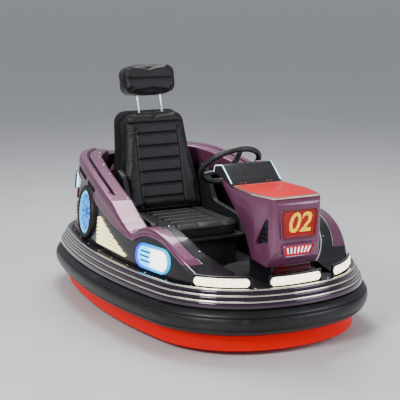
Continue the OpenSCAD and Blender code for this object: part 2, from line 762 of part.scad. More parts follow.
// The cover over the kingpin is high enough for the whole housing to end on its rear face
cover_x0 = pillar_x0 - fit_gap - 90;
cover_top = wheel_z - (cover_x0 - wheel_x) / tan(column_tilt) + housing_r / sin(column_tilt) + 3;
module column_housing() {
    color(ink) difference() {
        intersection() {
            translate([wheel_x, 0, wheel_z]) rotate([0, 180 - column_tilt, 0])
                translate([0, 0, housing_from]) cylinder(r = housing_r, h = shaft_len);
            translate([0, -200, shell_low]) cube([cover_x0 - fit_gap, 400, 500]);
        }
        column_hole(shaft_r + run_gap);
    }
}
module kingpin_cover() {
    color(ink) difference() {
        translate([cover_x0, -housing_r - 6, shell_low])
            cube([pillar_x0 - fit_gap - cover_x0, 2 * (housing_r + 6), cover_top - shell_low]);
        column_hole(shaft_r + run_gap);
        translate([kingpin_x - kingpin_r - 18, 8 - housing_r, shell_low - 1])
            cube([2 * (kingpin_r + 18), 2 * (housing_r - 8), kingpin_top + 20 - shell_low]);
    }
}

// Pedal plate: length, width, thickness
pedal = [112, 84, 7];
pedal_y = 240;
pedal_stand = [34, 50, 16];
module foot_pedals() {
    color("#77797c") both_sides() {
        translate([kingpin_x - 130, pedal_y, pan_top + fit_gap]) rotate([0, -28, 0])
            translate([2, -pedal[1] / 2, 6]) cube(pedal);
        translate([kingpin_x - 136, pedal_y - pedal_stand[1] / 2, pan_top]) cube(pedal_stand);
    }
}

box_w = 400;
box_x0 = seat_x0 - 115;
box_x1 = seat_x1 - 40;
box_wall = 6;
module seat_box() {
    color(ink) difference() {
        translate([box_x0, -box_w / 2, pan_top]) cube([box_x1 - box_x0, box_w, seat_box_z - pan_top]);
        translate([box_x0 + box_wall, -box_w / 2 + box_wall, pan_top - 1])
            cube([box_x1 - box_x0 - 2 * box_wall, box_w - 2 * box_wall, seat_box_z - pan_top - box_wall + 1]);
    }
}
battery_size = [380, 300, 112];
module battery() {
    color("#33373c") translate([box_x0 + 60, -battery_size[1] / 2, pan_top]) cube(battery_size);
}

// Bucket shell round the cushion and the back
shell_t = 12;
shell_grow = 26;
module seat_shell() {
    w = seat_w / 2 + shell_grow;
    color("#161618") union() {
        translate([0, 0, seat_box_z + fit_gap]) linear_extrude(shell_t)
            polygon(rounded([
                [seat_x0 - 60, -w + 20, 20], [seat_x1 + 10, -w, 60], [seat_x1 + 10, w, 60], [seat_x0 - 60, w - 20, 20]
            ]));
        both_sides() across(seat_w / 2 + 2, w) polygon(rounded([
            [seat_x0 - 60, seat_box_z + 4, 4], [seat_x1 - 20, seat_box_z + 4, 4], [seat_x1 - 60, seat_box_z + 92, 40],
            [seat_x0 + 110, seat_box_z + 120, 60], [seat_x0 + 20, seat_box_z + 270, 60], [seat_x0 - 50, seat_box_z + 300, 20]
        ]));
        back_frame() difference() {
            facing(-back_t - shell_t - fit_gap, -back_t - fit_gap) back_outline(shell_grow - 12);
            translate([-back_t - 60, -w, -80]) cube([60, 2 * w, 40]);
        }
        across(-seat_w / 2 - 2, seat_w / 2 + 2)
            polygon([[seat_x0 - 58, seat_box_z + 4], [seat_x0 - 20, seat_box_z + 4], [seat_x0 - 20, seat_box_z + 14],
                [seat_x0 - 132, seat_box_z + 60], [seat_x0 - 120, seat_box_z + 30]]);
    }
}
// Frame of the seat back: local Z runs up the back, local +X out of its face
module back_frame() {
    translate([seat_x0 + 4, 0, seat_box_z + shell_t + cushion_t - 30]) rotate([0, -back_lean, 0]) children();
}
module back_outline(g) {
    w = seat_w / 2 - 4 + g;
    polygon(rounded([[-w, -g, 24], [w, -g, 24], [w, 150, 60], [w - 34, 330, 80], [w - 52, back_len + g, 60],
        [-w + 52, back_len + g, 60], [-w + 34, 330, 80], [-w, 150, 60]]));
}
module seat_cushion() {
    color(leather) translate([0, 0, seat_box_z + shell_t + 2 * fit_gap]) linear_extrude(cushion_t - 32)
        polygon(rounded([[seat_x0 + 2, -seat_w / 2 + 2, 30], [seat_x1, -seat_w / 2 + 2, 70], [seat_x1, seat_w / 2 - 2, 70],
            [seat_x0 + 2, seat_w / 2 - 2, 30]]));
}
module seat_back() {
    color(leather) back_frame() difference() {
        facing(-back_t, 0) back_outline(0);
        both_posts() translate([0, 0, back_len - 60]) cylinder(r = post_r + fit_gap, h = 100);
    }
}
module both_posts() {
    both_sides() translate([-back_t / 2, post_gap / 2, 0]) children();
}
head_z = back_len + 88;
module headrest() {
    color(leather) back_frame() difference() {
        translate([-back_t / 2, 0, head_z + head_h / 2]) facing(-44, 46) slab(head_w, head_h, 46);
        both_posts() translate([0, 0, head_z - 1]) cylinder(r = post_r + fit_gap, h = 61);
    }
}
module headrest_posts() {
    color(steel) back_frame() both_posts() translate([0, 0, back_len - 59]) cylinder(r = post_r, h = 59 + 88 + 59);
}

fork_gap = drive_w / 2 + 6;
leg_t = 8;
plate_z = 2 * drive_r + 8;
plate_t = bridge_z - fit_gap - plate_z;
module drive_fork() {
    color(steel) {
        translate([kingpin_x, 0, plate_z]) cylinder(r = 128, h = plate_t);
        translate([kingpin_x, 0, plate_z]) cylinder(r = kingpin_r, h = kingpin_top - plate_z);
        difference() {
            both_sides() translate([kingpin_x, fork_gap, 0]) across(0, leg_t) union() {
                polygon([[-62, plate_z + 1], [-30, drive_r], [30, drive_r], [62, plate_z + 1]]);
                translate([0, drive_r]) circle(r = 30);
            }
            translate([kingpin_x, 0, drive_r]) rotate([90, 0, 0]) cylinder(r = axle_r + 0.5, h = 400, center = true);
        }
    }
}
motor_r = 54;
module drive_motor() {
    color("#4c5157") translate([kingpin_x, 0, drive_r]) rotate([-90, 0, 0]) {
        translate([0, 0, fork_gap + leg_t]) cylinder(r = motor_r, h = 78);
        translate([0, 0, fork_gap + leg_t + 78]) cylinder(r = motor_r - 12, h = 10);
        translate([0, 0, -fork_gap - leg_t - 12]) cylinder(r = 24, h = 12);
        translate([0, 0, -fork_gap - leg_t - 1]) cylinder(r = axle_r, h = 2 * (fork_gap + leg_t) + 2);
    }
}

module tyre(r, w, bore) {
    rotate([90, 0, 0]) rotate_extrude() difference() {
        translate([bore, -w / 2]) polygon(rounded([[0, 0, 0], [r - bore, 0, 12], [r - bore, w, 12], [0, w, 0]]));
        translate([r, 0]) circle(r = 3);
    }
}
// Hub with a flange and a ring of round holes
module hub(r, w, bore) {
    rotate([90, 0, 0]) difference() {
        union() {
            rotate_extrude() polygon([[bore, -w / 2], [bore + 14, -w / 2], [bore + 14, -w / 2 + 10], [r - 8, -8],
                [r - 8, -w / 2 + 4], [r, -w / 2 + 4], [r, w / 2 - 4], [r - 8, w / 2 - 4], [r - 8, 8],
                [bore + 14, w / 2 - 10], [bore + 14, w / 2], [bore, w / 2]]);
        }
        for (k = [0:4]) rotate(k * 72) translate([(bore + 14 + r - 8) / 2, 0, -w / 2 - 1]) cylinder(r = 8, h = w + 2, $fn = 24);
    }
}
hub_r = 62;
module drive_tyre() { color("#19191b") translate([kingpin_x, 0, drive_r]) tyre(drive_r, drive_w, hub_r + fit_gap); }
module drive_hub() { color(steel) translate([kingpin_x, 0, drive_r]) hub(hub_r, drive_w, axle_r + run_gap); }
module rear_tyre(s) {
    color("#19191b") translate([-rear_axle_x, s * rear_track, rear_wheel_r]) tyre(rear_wheel_r, rear_wheel_w, hub_r + fit_gap);
}
module rear_hub(s) {
    color(steel) translate([-rear_axle_x, s * rear_track, rear_wheel_r]) hub(hub_r, rear_wheel_w, axle_r + run_gap);
}
module rear_tyre_left() { rear_tyre(1); }
module rear_hub_left() { rear_hub(1); }
module rear_tyre_right() { rear_tyre(-1); }
module rear_hub_right() { rear_hub(-1); }

// Steering wheel frame: local +Z runs from the wheel towards the driver
module wheel_frame() {
    translate([wheel_x, 0, wheel_z]) rotate([0, -column_tilt, 0]) children();
}
hub_drop = 22;
module steering_wheel() {
    color("#131315") wheel_frame() difference() {
        union() {
            rotate_extrude($fn = 96) translate([wheel_r - rim_r, 0]) circle(r = rim_r, $fn = 32);
            translate([0, 0, -hub_drop - 12]) cylinder(r = 46, h = 26);
            for (a = [0, 120, 240]) rotate([0, 0, a]) rotate([0, -8, 0])
                translate([20, -14, -hub_drop + 2]) cube([wheel_r - 24 - rim_r, 28, 9]);
        }
        translate([0, 0, -hub_drop - 13]) cylinder(r = shaft_r + fit_gap, h = 20);
    }
}
module steering_shaft() {
    color(steel) wheel_frame() translate([0, 0, -shaft_len]) cylinder(r = shaft_r, h = shaft_len - hub_drop + 6);
}

frame_hoop();
frame_flanges();
floor_rails();
floor_pan();
rear_axle();
kingpin_bridge();
bumper_rubber();
bumper_band();
band_trim();
underglow_skirt();
deck();
cockpit_tub();
flank_left();
flank_right();
fairing_left();
fairing_right();
sill_trims();
tail_panel();
tail_display();
rear_cover();
block_lamps();
marker_lamps();
pill_lamps();
oval_lamps();
lamp_bezels();
slat_panels();
wheel_lamps();
wheel_lamp_tyres();
light_bars();
nose_pillar();
nose_intake();
nose_cowl();
nose_hood();
number_display();
dashboard();
column_housing();
kingpin_cover();
foot_pedals();
seat_box();
battery();
seat_shell();
seat_cushion();
seat_back();
headrest();
headrest_posts();
drive_fork();
drive_motor();
drive_tyre();
drive_hub();
rear_tyre_left();
rear_hub_left();
rear_tyre_right();
rear_hub_right();
steering_wheel();
steering_shaft();
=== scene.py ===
# %% [markdown]
# # A single-seat bumper car
# The construction is already packed: every chassis piece, lamp body and wheel comes in as a fixed frame, in
# metres, with +X forward and +Z up. This lesson dresses it: smooth shells over the faceted ones, padded
# seat pieces, lit lamps, and a procedural finish on every surface that shows.

# %% Load the frame
import json
import math
import bmesh
import bpy
from mathutils import Matrix, Vector
from mathutils.bvhtree import BVHTree

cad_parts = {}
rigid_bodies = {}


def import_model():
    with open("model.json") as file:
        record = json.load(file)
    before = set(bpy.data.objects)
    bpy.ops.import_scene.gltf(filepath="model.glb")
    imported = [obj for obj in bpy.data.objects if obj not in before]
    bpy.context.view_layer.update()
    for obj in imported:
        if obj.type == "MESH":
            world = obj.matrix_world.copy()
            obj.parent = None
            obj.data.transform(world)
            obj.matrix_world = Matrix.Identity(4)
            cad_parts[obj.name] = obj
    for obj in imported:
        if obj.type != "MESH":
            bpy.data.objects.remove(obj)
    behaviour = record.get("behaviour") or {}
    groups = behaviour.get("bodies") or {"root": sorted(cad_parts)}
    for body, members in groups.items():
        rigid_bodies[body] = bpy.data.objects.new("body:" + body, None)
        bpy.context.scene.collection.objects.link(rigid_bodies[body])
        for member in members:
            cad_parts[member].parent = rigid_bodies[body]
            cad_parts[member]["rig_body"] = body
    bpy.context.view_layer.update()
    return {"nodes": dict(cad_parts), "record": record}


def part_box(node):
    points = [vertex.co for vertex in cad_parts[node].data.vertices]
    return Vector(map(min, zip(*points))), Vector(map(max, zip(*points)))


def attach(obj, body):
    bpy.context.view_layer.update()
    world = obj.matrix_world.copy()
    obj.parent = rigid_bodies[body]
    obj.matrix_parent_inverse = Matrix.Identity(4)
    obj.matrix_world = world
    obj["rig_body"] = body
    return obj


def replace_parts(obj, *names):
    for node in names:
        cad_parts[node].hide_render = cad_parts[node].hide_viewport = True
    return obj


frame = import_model()
NODES = frame["nodes"]
SLOT_OF = {row["node"]: row["material_slot"] for row in frame["record"]["subparts"]}

# %% [markdown]
# ## Finishes
# A finish is a node tree. Two patterns come back all the time: a base colour that noise varies a little, and a
# fine bump. One class builds that core, and each finish then adds what is its own. Patterns read Object
# coordinates, because every piece keeps its object at the origin and so the pattern never slides.

# %% Core of a finish
def link(tree, source, target):
    tree.links.new(source, target)

def add(tree, kind, **values):
    node = tree.nodes.new(kind)
    for key, value in values.items():
        if key in node.inputs:
            node.inputs[key].default_value = value
        else:
            setattr(node, key, value)
    return node

class Finish:
    """A material with a cloudy base colour, a cloudy roughness and a fine grain."""

    def __init__(self, name, colour, rough, metal=0.0, vary=0.15, scale=18.0, grain=0.05,
                 grain_scale=900.0, shine=0.5):
        self.material = bpy.data.materials.new(name)
        self.material.use_nodes = True
        self.tree = self.material.node_tree
        self.shader = self.tree.nodes["Principled BSDF"]
        self.place = self.add("ShaderNodeTexCoord").outputs["Object"]
        cloud = self.pattern("ShaderNodeTexNoise", Scale=scale, Detail=6.0, Roughness=0.6)
        ramp = self.add("ShaderNodeValToRGB")
        for end, position, share in ((0, 0.35, 1 - vary), (1, 0.68, 1 + vary)):
            ramp.color_ramp.elements[end].position = position
            ramp.color_ramp.elements[end].color = [min(1.0, c * share) for c in colour] + [1.0]
        self.link(cloud.outputs["Fac"], ramp.inputs["Fac"])
        self.link(ramp.outputs["Color"], self.shader.inputs["Base Color"])
        gloss = self.spread(cloud.outputs["Fac"], (0.0, 1.0), (max(0.02, rough * 0.82), min(1.0, rough * 1.22)))
        self.link(gloss, self.shader.inputs["Roughness"])
        self.set(Metallic=metal, Specular_IOR_Level=shine)
        fine = self.pattern("ShaderNodeTexNoise", Scale=grain_scale, Detail=2.0)
        self.bump = self.add("ShaderNodeBump", Strength=grain, Distance=0.0006)
        self.link(fine.outputs["Fac"], self.bump.inputs["Height"])
        self.link(self.bump.outputs["Normal"], self.shader.inputs["Normal"])

    def add(self, kind, **values):
        return add(self.tree, kind, **values)

    def link(self, source, target):
        link(self.tree, source, target)

    def set(self, **values):
        """Sets the shader's own sockets. An underscore stands for a space in a socket's name."""
        for key, value in values.items():
            self.shader.inputs[key.replace("_", " ")].default_value = value
        return self

    def pattern(self, kind, stretch=None, **values):
        """A texture on Object coordinates, stretched along the axes where that is asked."""
        texture, source = self.add(kind, **values), self.place
        if stretch:
            along = self.add("ShaderNodeMapping", Scale=stretch)
            self.link(source, along.inputs["Vector"])
            source = along.outputs["Vector"]
        self.link(source, texture.inputs["Vector"])
        return texture

    def spread(self, source, given, wanted=(0.0, 1.0), **values):
        """Maps one range of a value to another."""
        node = self.add("ShaderNodeMapRange", **values)
        for key, value in zip(("From Min", "From Max", "To Min", "To Max"), (*given, *wanted)):
            node.inputs[key].default_value = value
        self.link(source, node.inputs["Value"])
        return node.outputs["Result"]

    def blend(self, factor, first, second):
        """Mixes two colours. Each is a colour or the socket that gives one."""
        mix = self.add("ShaderNodeMix", data_type="RGBA")
        self.link(factor, mix.inputs[0])
        for index, value in ((6, first), (7, second)):
            if isinstance(value, tuple):
                mix.inputs[index].default_value = (*value, 1.0)
            else:
                self.link(value, mix.inputs[index])
        return mix.outputs[2]

    def over(self, factor, colour):
        """Lays a second colour over the base where the factor is one."""
        base = self.shader.inputs["Base Color"].links[0].from_socket
        self.link(self.blend(factor, base, colour), self.shader.inputs["Base Color"])
        return self

    def relief(self, height, strength, distance):
        """A coarser relief on top of the fine one."""
        node = self.add("ShaderNodeBump", Strength=strength, Distance=distance)
        self.link(height, node.inputs["Height"])
        self.link(self.bump.outputs["Normal"], node.inputs["Normal"])
        self.link(node.outputs["Normal"], self.shader.inputs["Normal"])
        return self

    def coat(self, weight, rough):
        return self.set(Coat_Weight=weight, Coat_Roughness=rough)

# %% [markdown]
# ### Paint, plastic and rubber
# The shells are metallic plum lacquer under a clear coat, so the flake lives in the base layer and the mirror
# in the coat. The stepped band is darker and glossier still. Rubber is matt with grey scuffs on its bulge.

# %% Paints and plastics
GLOSS_BLACK = (0.007, 0.006, 0.009)

def plum_lacquer(name):
    finish = Finish(name, (0.165, 0.046, 0.108), 0.34, metal=0.45, vary=0.10, scale=5.0, grain=0.02)
    flake = finish.pattern("ShaderNodeTexVoronoi", Scale=1400.0)
    return finish.relief(flake.outputs["Color"], 0.16, 0.0003).coat(0.7, 0.06)

def fairing_lacquer():
    """Plum lacquer that gives way to gloss black where the mesh attribute inner_trim is above zero."""
    finish = plum_lacquer("fairing_lacquer")
    trim = finish.add("ShaderNodeAttribute", attribute_name="inner_trim")
    return finish.over(finish.spread(trim.outputs["Fac"], (-0.0008, 0.0008)), GLOSS_BLACK)

def band_lacquer():
    finish = Finish("band_lacquer", (0.040, 0.016, 0.040), 0.13, metal=0.75, vary=0.18, scale=3.0, grain=0.01)
    return finish.coat(1.0, 0.03)

def gloss_lacquer(name, colour, rough, coat, glow=0.0, shine=0.3):
    finish = Finish(name, colour, rough, vary=0.12, scale=6.0, grain=0.015, shine=shine)
    return finish.coat(coat, 0.04).set(Emission_Color=(*colour, 1.0), Emission_Strength=glow)

def ring_rubber():
    finish = Finish("ring_rubber", (0.008, 0.008, 0.009), 0.34, vary=0.3, scale=11.0, grain=0.25,
                    grain_scale=700.0, shine=0.35)
    scuff = finish.pattern("ShaderNodeTexNoise", (1.0, 1.0, 6.0), Scale=7.0, Detail=9.0, Distortion=1.2)
    return finish.over(finish.spread(scuff.outputs["Fac"], (0.60, 0.78)), (0.034, 0.032, 0.036))

def studded_black():
    """Deck cover: moulded plastic with a raised anti-slip pattern."""
    finish = Finish("studded_black", (0.012, 0.012, 0.014), 0.44, vary=0.2, scale=26.0, grain=0.3,
                    grain_scale=1300.0, shine=0.3)
    studs = finish.pattern("ShaderNodeTexVoronoi", Scale=85.0, Randomness=0.0)
    return finish.relief(finish.spread(studs.outputs["Distance"], (0.25, 0.45), (1.0, 0.0)), 0.5, 0.0012)

# %% [markdown]
# ### Metal and vinyl
# Turned and brushed metal shows fine lines one way only, so its noise is stretched along an axis. Seat vinyl has
# small cells with creases between them, which the distance to a Voronoi cell's edge draws.

# %% Metals and the seat cover
def metal(name, colour, rough, stretch=(1.0, 1.0, 1.0)):
    finish = Finish(name, colour, rough, metal=1.0, vary=0.12, grain=0.04)
    brush = finish.pattern("ShaderNodeTexNoise", stretch, Scale=60.0, Detail=4.0)
    finish.link(brush.outputs["Fac"], finish.bump.inputs["Height"])
    return finish

def seat_vinyl():
    finish = Finish("seat_vinyl", (0.008, 0.0075, 0.009), 0.38, vary=0.22, scale=14.0, grain=0.2, shine=0.25)
    cells = finish.pattern("ShaderNodeTexVoronoi", Scale=420.0, feature="DISTANCE_TO_EDGE")
    return finish.relief(cells.outputs["Distance"], 0.5, 0.0012).set(Sheen_Weight=0.03)

# %% [markdown]
# ### Lit pieces
# A lamp here is a milky diffuser with light-emitting diodes behind it. Its finish emits most over each diode,
# and a Voronoi pattern on Object coordinates places them. The strength stays low enough to keep the colour.

# %% Lit finishes
def lit(name, colour, strength, spots=60.0, depth=0.35, dim=1.0):
    """dim darkens the plastic itself, which keeps a strong colour from turning pale under the lights."""
    finish = Finish(name, [c * dim for c in colour], 0.25, vary=0.04, scale=30.0, grain=0.02, shine=0.2)
    cells = finish.pattern("ShaderNodeTexVoronoi", Scale=spots, Randomness=0.15)
    level = finish.spread(cells.outputs["Distance"], (0.0, 0.7), (strength, strength * (1 - depth)))
    finish.link(level, finish.shader.inputs["Emission Strength"])
    return finish.set(Emission_Color=(*colour, 1.0)).coat(0.3, 0.08)

def axis_of(finish, axis):
    split = finish.add("ShaderNodeSeparateXYZ")
    finish.link(finish.place, split.inputs["Vector"])
    return split.outputs[axis]

def along_car(finish, x_rear, x_front, rear, front):
    """Blends a lit finish from one colour to another along the car."""
    share = finish.spread(axis_of(finish, "X"), (x_rear, x_front), interpolation_type="SMOOTHSTEP")
    colour = finish.blend(share, rear, front)
    finish.link(colour, finish.shader.inputs["Emission Color"])
    finish.link(colour, finish.shader.inputs["Base Color"])
    return finish

def skirt_glow():
    """Red diffuser, brighter towards its lower edge, where the light strip faces the floor."""
    finish = Finish("skirt_glow", (0.26, 0.0, 0.0), 0.4, vary=0.08, scale=20.0, grain=0.04, shine=0.1)
    low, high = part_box("underglow_skirt")
    level = finish.spread(axis_of(finish, "Z"), (low.z, high.z), (0.54, 0.36))
    finish.link(level, finish.shader.inputs["Emission Strength"])
    return finish.set(Emission_Color=(1.0, 0.0, 0.0, 1.0))

# %% The list of finishes, first by the record's slots and then the scene's own
halo = lit("cyan_halo", (0.02, 0.45, 1.0), 0.85, spots=45.0, depth=0.15)
oval = lit("oval_diffuser", (1.0, 1.0, 1.0), 3.2, spots=50.0, depth=0.1)
FINISHES = {
    "plum_paint": plum_lacquer("plum_lacquer"),
    "band_gloss": band_lacquer(),
    "black_gloss": gloss_lacquer("gloss_black", GLOSS_BLACK, 0.22, 0.5),
    "black_matte": Finish("grained_black", (0.011, 0.011, 0.013), 0.46, grain=0.35, grain_scale=1500.0, shine=0.3),
    "ring_rubber": ring_rubber(),
    "seat_leather": seat_vinyl(),
    "glow_red": skirt_glow(),
    "trim_bright": metal("bright_trim", (0.95, 0.88, 0.72), 0.14),
    "bezel_bright": along_car(halo, 0.27, 0.46, (0.0, 0.03, 1.0), (0.0, 0.55, 1.0)),
    "machined": metal("machined_steel", (0.60, 0.61, 0.63), 0.28, (1.0, 1.0, 14.0)),
    "steel_grey": Finish("grey_powder_coat", (0.12, 0.125, 0.135), 0.48, grain=0.4, grain_scale=1100.0),
    "black_sheet": Finish("black_sheet", (0.013, 0.013, 0.015), 0.42, grain=0.3, grain_scale=1200.0),
    "motor_grey": Finish("motor_paint", (0.09, 0.10, 0.11), 0.45, grain=0.3),
    "tyre_black": Finish("wheel_rubber", (0.013, 0.013, 0.014), 0.6, vary=0.3, grain=0.4),
    "wheel_grip": Finish("grip_rubber", (0.010, 0.010, 0.011), 0.42, vary=0.25, grain=0.5, grain_scale=1300.0),
    # The hood's red lacquer is given a glow as well: painted light, standing in for the red light seen on the
    # plate.
    "hood_red": gloss_lacquer("red_lacquer_painted_glow", (0.50, 0.0, 0.001), 0.42, 0.08, 0.62, 0.12),
    "display_red": gloss_lacquer("display_cover", (0.09, 0.001, 0.001), 0.3, 0.4, 0.5),
    "display_tail": gloss_lacquer("tail_cover", (0.03, 0.008, 0.035), 0.2, 1.0),
    "lamp_cool": lit("cool_diffuser", (0.50, 0.82, 1.0), 3.0, dim=0.8),
    "lamp_warm": lit("warm_diffuser", (1.0, 0.90, 0.66), 4.5, spots=55.0, dim=0.8),
    "lamp_amber": lit("amber_diffuser", (1.0, 0.06, 0.01), 0.9, dim=0.5),
    "fairing_plum": fairing_lacquer(),
    "deck_studs": studded_black(),
    "digit_yellow": lit("yellow_dots", (1.0, 0.62, 0.0), 3.2, spots=400.0, depth=0.1, dim=0.5),
    "dot_red": lit("red_dots", (1.0, 0.0, 0.0), 0.55, spots=400.0, depth=0.1, dim=0.3),
    "deep_blue": lit("blue_diffuser", (0.0, 0.12, 1.0), 0.9, spots=40.0, depth=0.3, dim=0.5),
    "violet": lit("violet_dots", (0.55, 0.06, 1.0), 1.8, spots=400.0, depth=0.1, dim=0.4),
    "oval_diffuser": along_car(oval, 0.36, 0.41, (0.02, 0.55, 1.0), (1.0, 0.96, 0.86)),
    "panel_yellow": lit("panel_diffuser", (1.0, 0.90, 0.50), 2.0, spots=90.0, depth=0.15, dim=0.7),
    "cyan_rim": lit("cyan_rim", (0.03, 0.55, 1.0), 1.2, spots=70.0, depth=0.25, dim=0.6),
    "intake_red": gloss_lacquer("intake_red", (0.05, 0.001, 0.001), 0.3, 0.3),
    "fin_blue": gloss_lacquer("fin_blue", (0.0, 0.025, 0.30), 0.3, 0.3, 0.3),
    "thread": Finish("grey_thread", (0.10, 0.09, 0.11), 0.7, grain=0.3),
}
OWN_FINISH = {"deck": "deck_studs", "slat_panels": "panel_yellow", "nose_intake": "intake_red"}
for name, obj in NODES.items():
    obj.data.materials.clear()
    obj.data.materials.append(FINISHES[OWN_FINISH.get(name, SLOT_OF[name])].material)
print("finishes:", len(FINISHES))

# %% [markdown]
# ## The plan curve
# Seen from above the car is eight arcs that meet tangentially. Everything round the rim is a section swept
# along them, so one function returns stations along the curve and another a point at an inset from it.

# %% Arcs and stations
LENGTH, WIDTH = 1.850, 1.180
HALF = LENGTH / 2
SIDES = ((1, "left"), (-1, "right"))
FRONT_R, SIDE_R, REAR_R, FRONT_CORNER_R, REAR_CORNER_R = 0.700, 2.600, 0.900, 0.480, 0.430

def meet(a, ra, b, rb):
    reach = (b - a).length
    u = (b - a) / reach
    k = (ra * ra - rb * rb + reach * reach) / (2 * reach)
    h = math.sqrt(ra * ra - k * k)
    return a + u * k + Vector((-u.y, u.x)) * h

def heading(v):
    return math.atan2(v.y, v.x)

front_c = Vector((HALF - FRONT_R, 0))
rear_c = Vector((REAR_R - HALF, 0))
side_c = Vector((0, WIDTH / 2 - SIDE_R))
front_corner_c = meet(front_c, FRONT_R - FRONT_CORNER_R, side_c, SIDE_R - FRONT_CORNER_R)
rear_corner_c = meet(side_c, SIDE_R - REAR_CORNER_R, rear_c, REAR_R - REAR_CORNER_R)
front_a, side_a = heading(front_corner_c - front_c), heading(front_corner_c - side_c)
haunch_a, rear_a = heading(rear_corner_c - side_c), heading(rear_corner_c - rear_c)
CORNER = (front_corner_c, FRONT_CORNER_R, front_a, side_a)
SIDE = (side_c, SIDE_R, side_a, haunch_a)
HAUNCH = (rear_corner_c, REAR_CORNER_R, haunch_a, rear_a)
REAR = (rear_c, REAR_R, rear_a, 2 * math.pi - rear_a)
FRONT = (front_c, FRONT_R, -front_a, front_a)

def flipped(arc):
    return (Vector((arc[0].x, -arc[0].y)), arc[1], -arc[3], -arc[2])

WHOLE = [FRONT, CORNER, SIDE, HAUNCH, REAR, flipped(HAUNCH), flipped(SIDE), flipped(CORNER)]

def part_of(arc, start, end):
    return (arc[0], arc[1], max(arc[2], math.radians(start)), min(arc[3], math.radians(end)))

def stations(arcs, step, closed):
    found = []
    for arc in arcs:
        count = max(2, round(arc[1] * (arc[3] - arc[2]) / step))
        found += [(arc, arc[2] + (arc[3] - arc[2]) * k / count) for k in range(count)]
    if not closed:
        found.append((arcs[-1], arcs[-1][3]))
    return found

def at(station, inset):
    arc, angle = station
    return arc[0] + (arc[1] - inset) * Vector((math.cos(angle), math.sin(angle)))

print("plan curve:", len(stations(WHOLE, 0.012, True)), "stations")

# %% [markdown]
# ## Mesh helpers
# Most pieces here are grids: a row of points, repeated and joined to its neighbour. A swept rail, a turned wheel
# and a lens pressed to an outline differ only in how each row is placed, so they share one grid function.

# %% Grids and rounded outlines
def rounded(corners, steps=4):
    """Outline through corners (x, y, radius), each one rounded."""
    out = []
    for i, (x, z, r) in enumerate(corners):
        p = Vector((x, z))
        if r == 0:
            out.append(p)
            continue
        q, s = corners[i - 1], corners[(i + 1) % len(corners)]
        a, b = (Vector(q[:2]) - p).normalized(), (Vector(s[:2]) - p).normalized()
        half = a.angle(b) / 2
        o = p + (a + b).normalized() * r / math.sin(half)
        start, end = p + a * r / math.tan(half) - o, p + b * r / math.tan(half) - o
        turn = math.atan2(start.x * end.y - start.y * end.x, start.dot(end))
        for k in range(steps + 1):
            t = heading(start) + turn * k / steps
            out.append(o + r * Vector((math.cos(t), math.sin(t))))
    return out

def both_ways(half, steps=4):
    """Outline that is the same at plus and minus x, from its corners at plus x, bottom to top."""
    other = [(-x, z, r) for x, z, r in half]
    return rounded(other[:1] + half + other[:0:-1], steps)

def front_to_back(half, steps):
    """Outline that is the same at plus and minus y, from its corners at plus y, in order of x."""
    return rounded([(x, -y, r) for x, y, r in half] + half[::-1], steps)

def slab(w, h, r, steps):
    return both_ways([(w / 2, -h / 2, r), (w / 2, h / 2, r)], steps)

def worked(bm, mesh):
    """Writes a working copy back to a mesh."""
    bm.to_mesh(mesh)
    bm.free()
    return mesh

def smoothed(mesh, angle):
    """Smooth shading, with the edges left sharp that turn by more than the angle."""
    mesh.shade_smooth()
    bm = bmesh.new()
    bm.from_mesh(mesh)
    for edge in bm.edges:
        if len(edge.link_faces) == 2:
            edge.smooth = edge.calc_face_angle(0.0) < math.radians(angle)
    return worked(bm, mesh)

def new_object(name, mesh, slot, body="car", finish=None, smooth=35.0):
    """A piece with the finish of its record slot, or the finish named, and the body that it rides with."""
    obj = bpy.data.objects.new(name, mesh)
    bpy.context.scene.collection.objects.link(obj)
    mesh.materials.clear()
    mesh.materials.append(FINISHES[finish or slot].material)
    smoothed(mesh, smooth)
    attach(obj, body)
    return obj

def grid_mesh(name, rows, loop_rows=True, loop_row=True, cap_sides=False):
    """Joins rows of points. loop_rows closes the last row to the first, loop_row each row on itself."""
    n, m = len(rows[0]), len(rows)
    faces = []
    for i in range(m if loop_rows else m - 1):
        a, b = i * n, (i + 1) % m * n
        faces += [(a + j, a + (j + 1) % n, b + (j + 1) % n, b + j) for j in range(n if loop_row else n - 1)]
    if not loop_rows:
        faces += [tuple(range(n - 1, -1, -1)), tuple(range((m - 1) * n, m * n))]
    if cap_sides:
        faces += [tuple(i * n for i in range(m)), tuple(i * n + n - 1 for i in range(m))]
    mesh = bpy.data.meshes.new(name)
    mesh.from_pydata([p for row in rows for p in row], [], faces)
    bm = bmesh.new()
    bm.from_mesh(mesh)
    bmesh.ops.remove_doubles(bm, verts=bm.verts, dist=0.00002)
    bmesh.ops.recalc_face_normals(bm, faces=bm.faces)
    return worked(bm, mesh)

# %% Sweeps, lathes and pressed outlines
def sweep(name, section, arcs, slot, closed=False, step=0.012, **more):
    """A closed section of (inset, height) points along arcs of the plan curve."""
    rows = [[Vector((*at(s, q[0]), q[1])) for q in section] for s in stations(arcs, step, closed)]
    return new_object(name, grid_mesh(name, rows, closed), slot, **more)

def turns_of(segments):
    return [2 * math.pi * k / segments for k in range(segments)]

def turned_mesh(name, profile, segments, place=Matrix.Identity(4)):
    """A profile of (radius, depth) points turned about local X. It is closed, or starts and ends on the axis."""
    rows = [[place @ Vector((x, r * math.cos(t), r * math.sin(t))) for r, x in profile]
            for t in turns_of(segments)]
    return grid_mesh(name, rows)

def lathe(name, profile, place, slot, segments=64, **more):
    return new_object(name, turned_mesh(name, profile, segments, place), slot, **more)

def normals_2d(outline):
    found = []
    for i, p in enumerate(outline):
        a, b = (p - outline[i - 1]), (outline[(i + 1) % len(outline)] - p)
        n = Vector((a.y, -a.x)).normalized() + Vector((b.y, -b.x)).normalized()
        found.append(n.normalized() / max(0.5, n.length / 2))
    return found

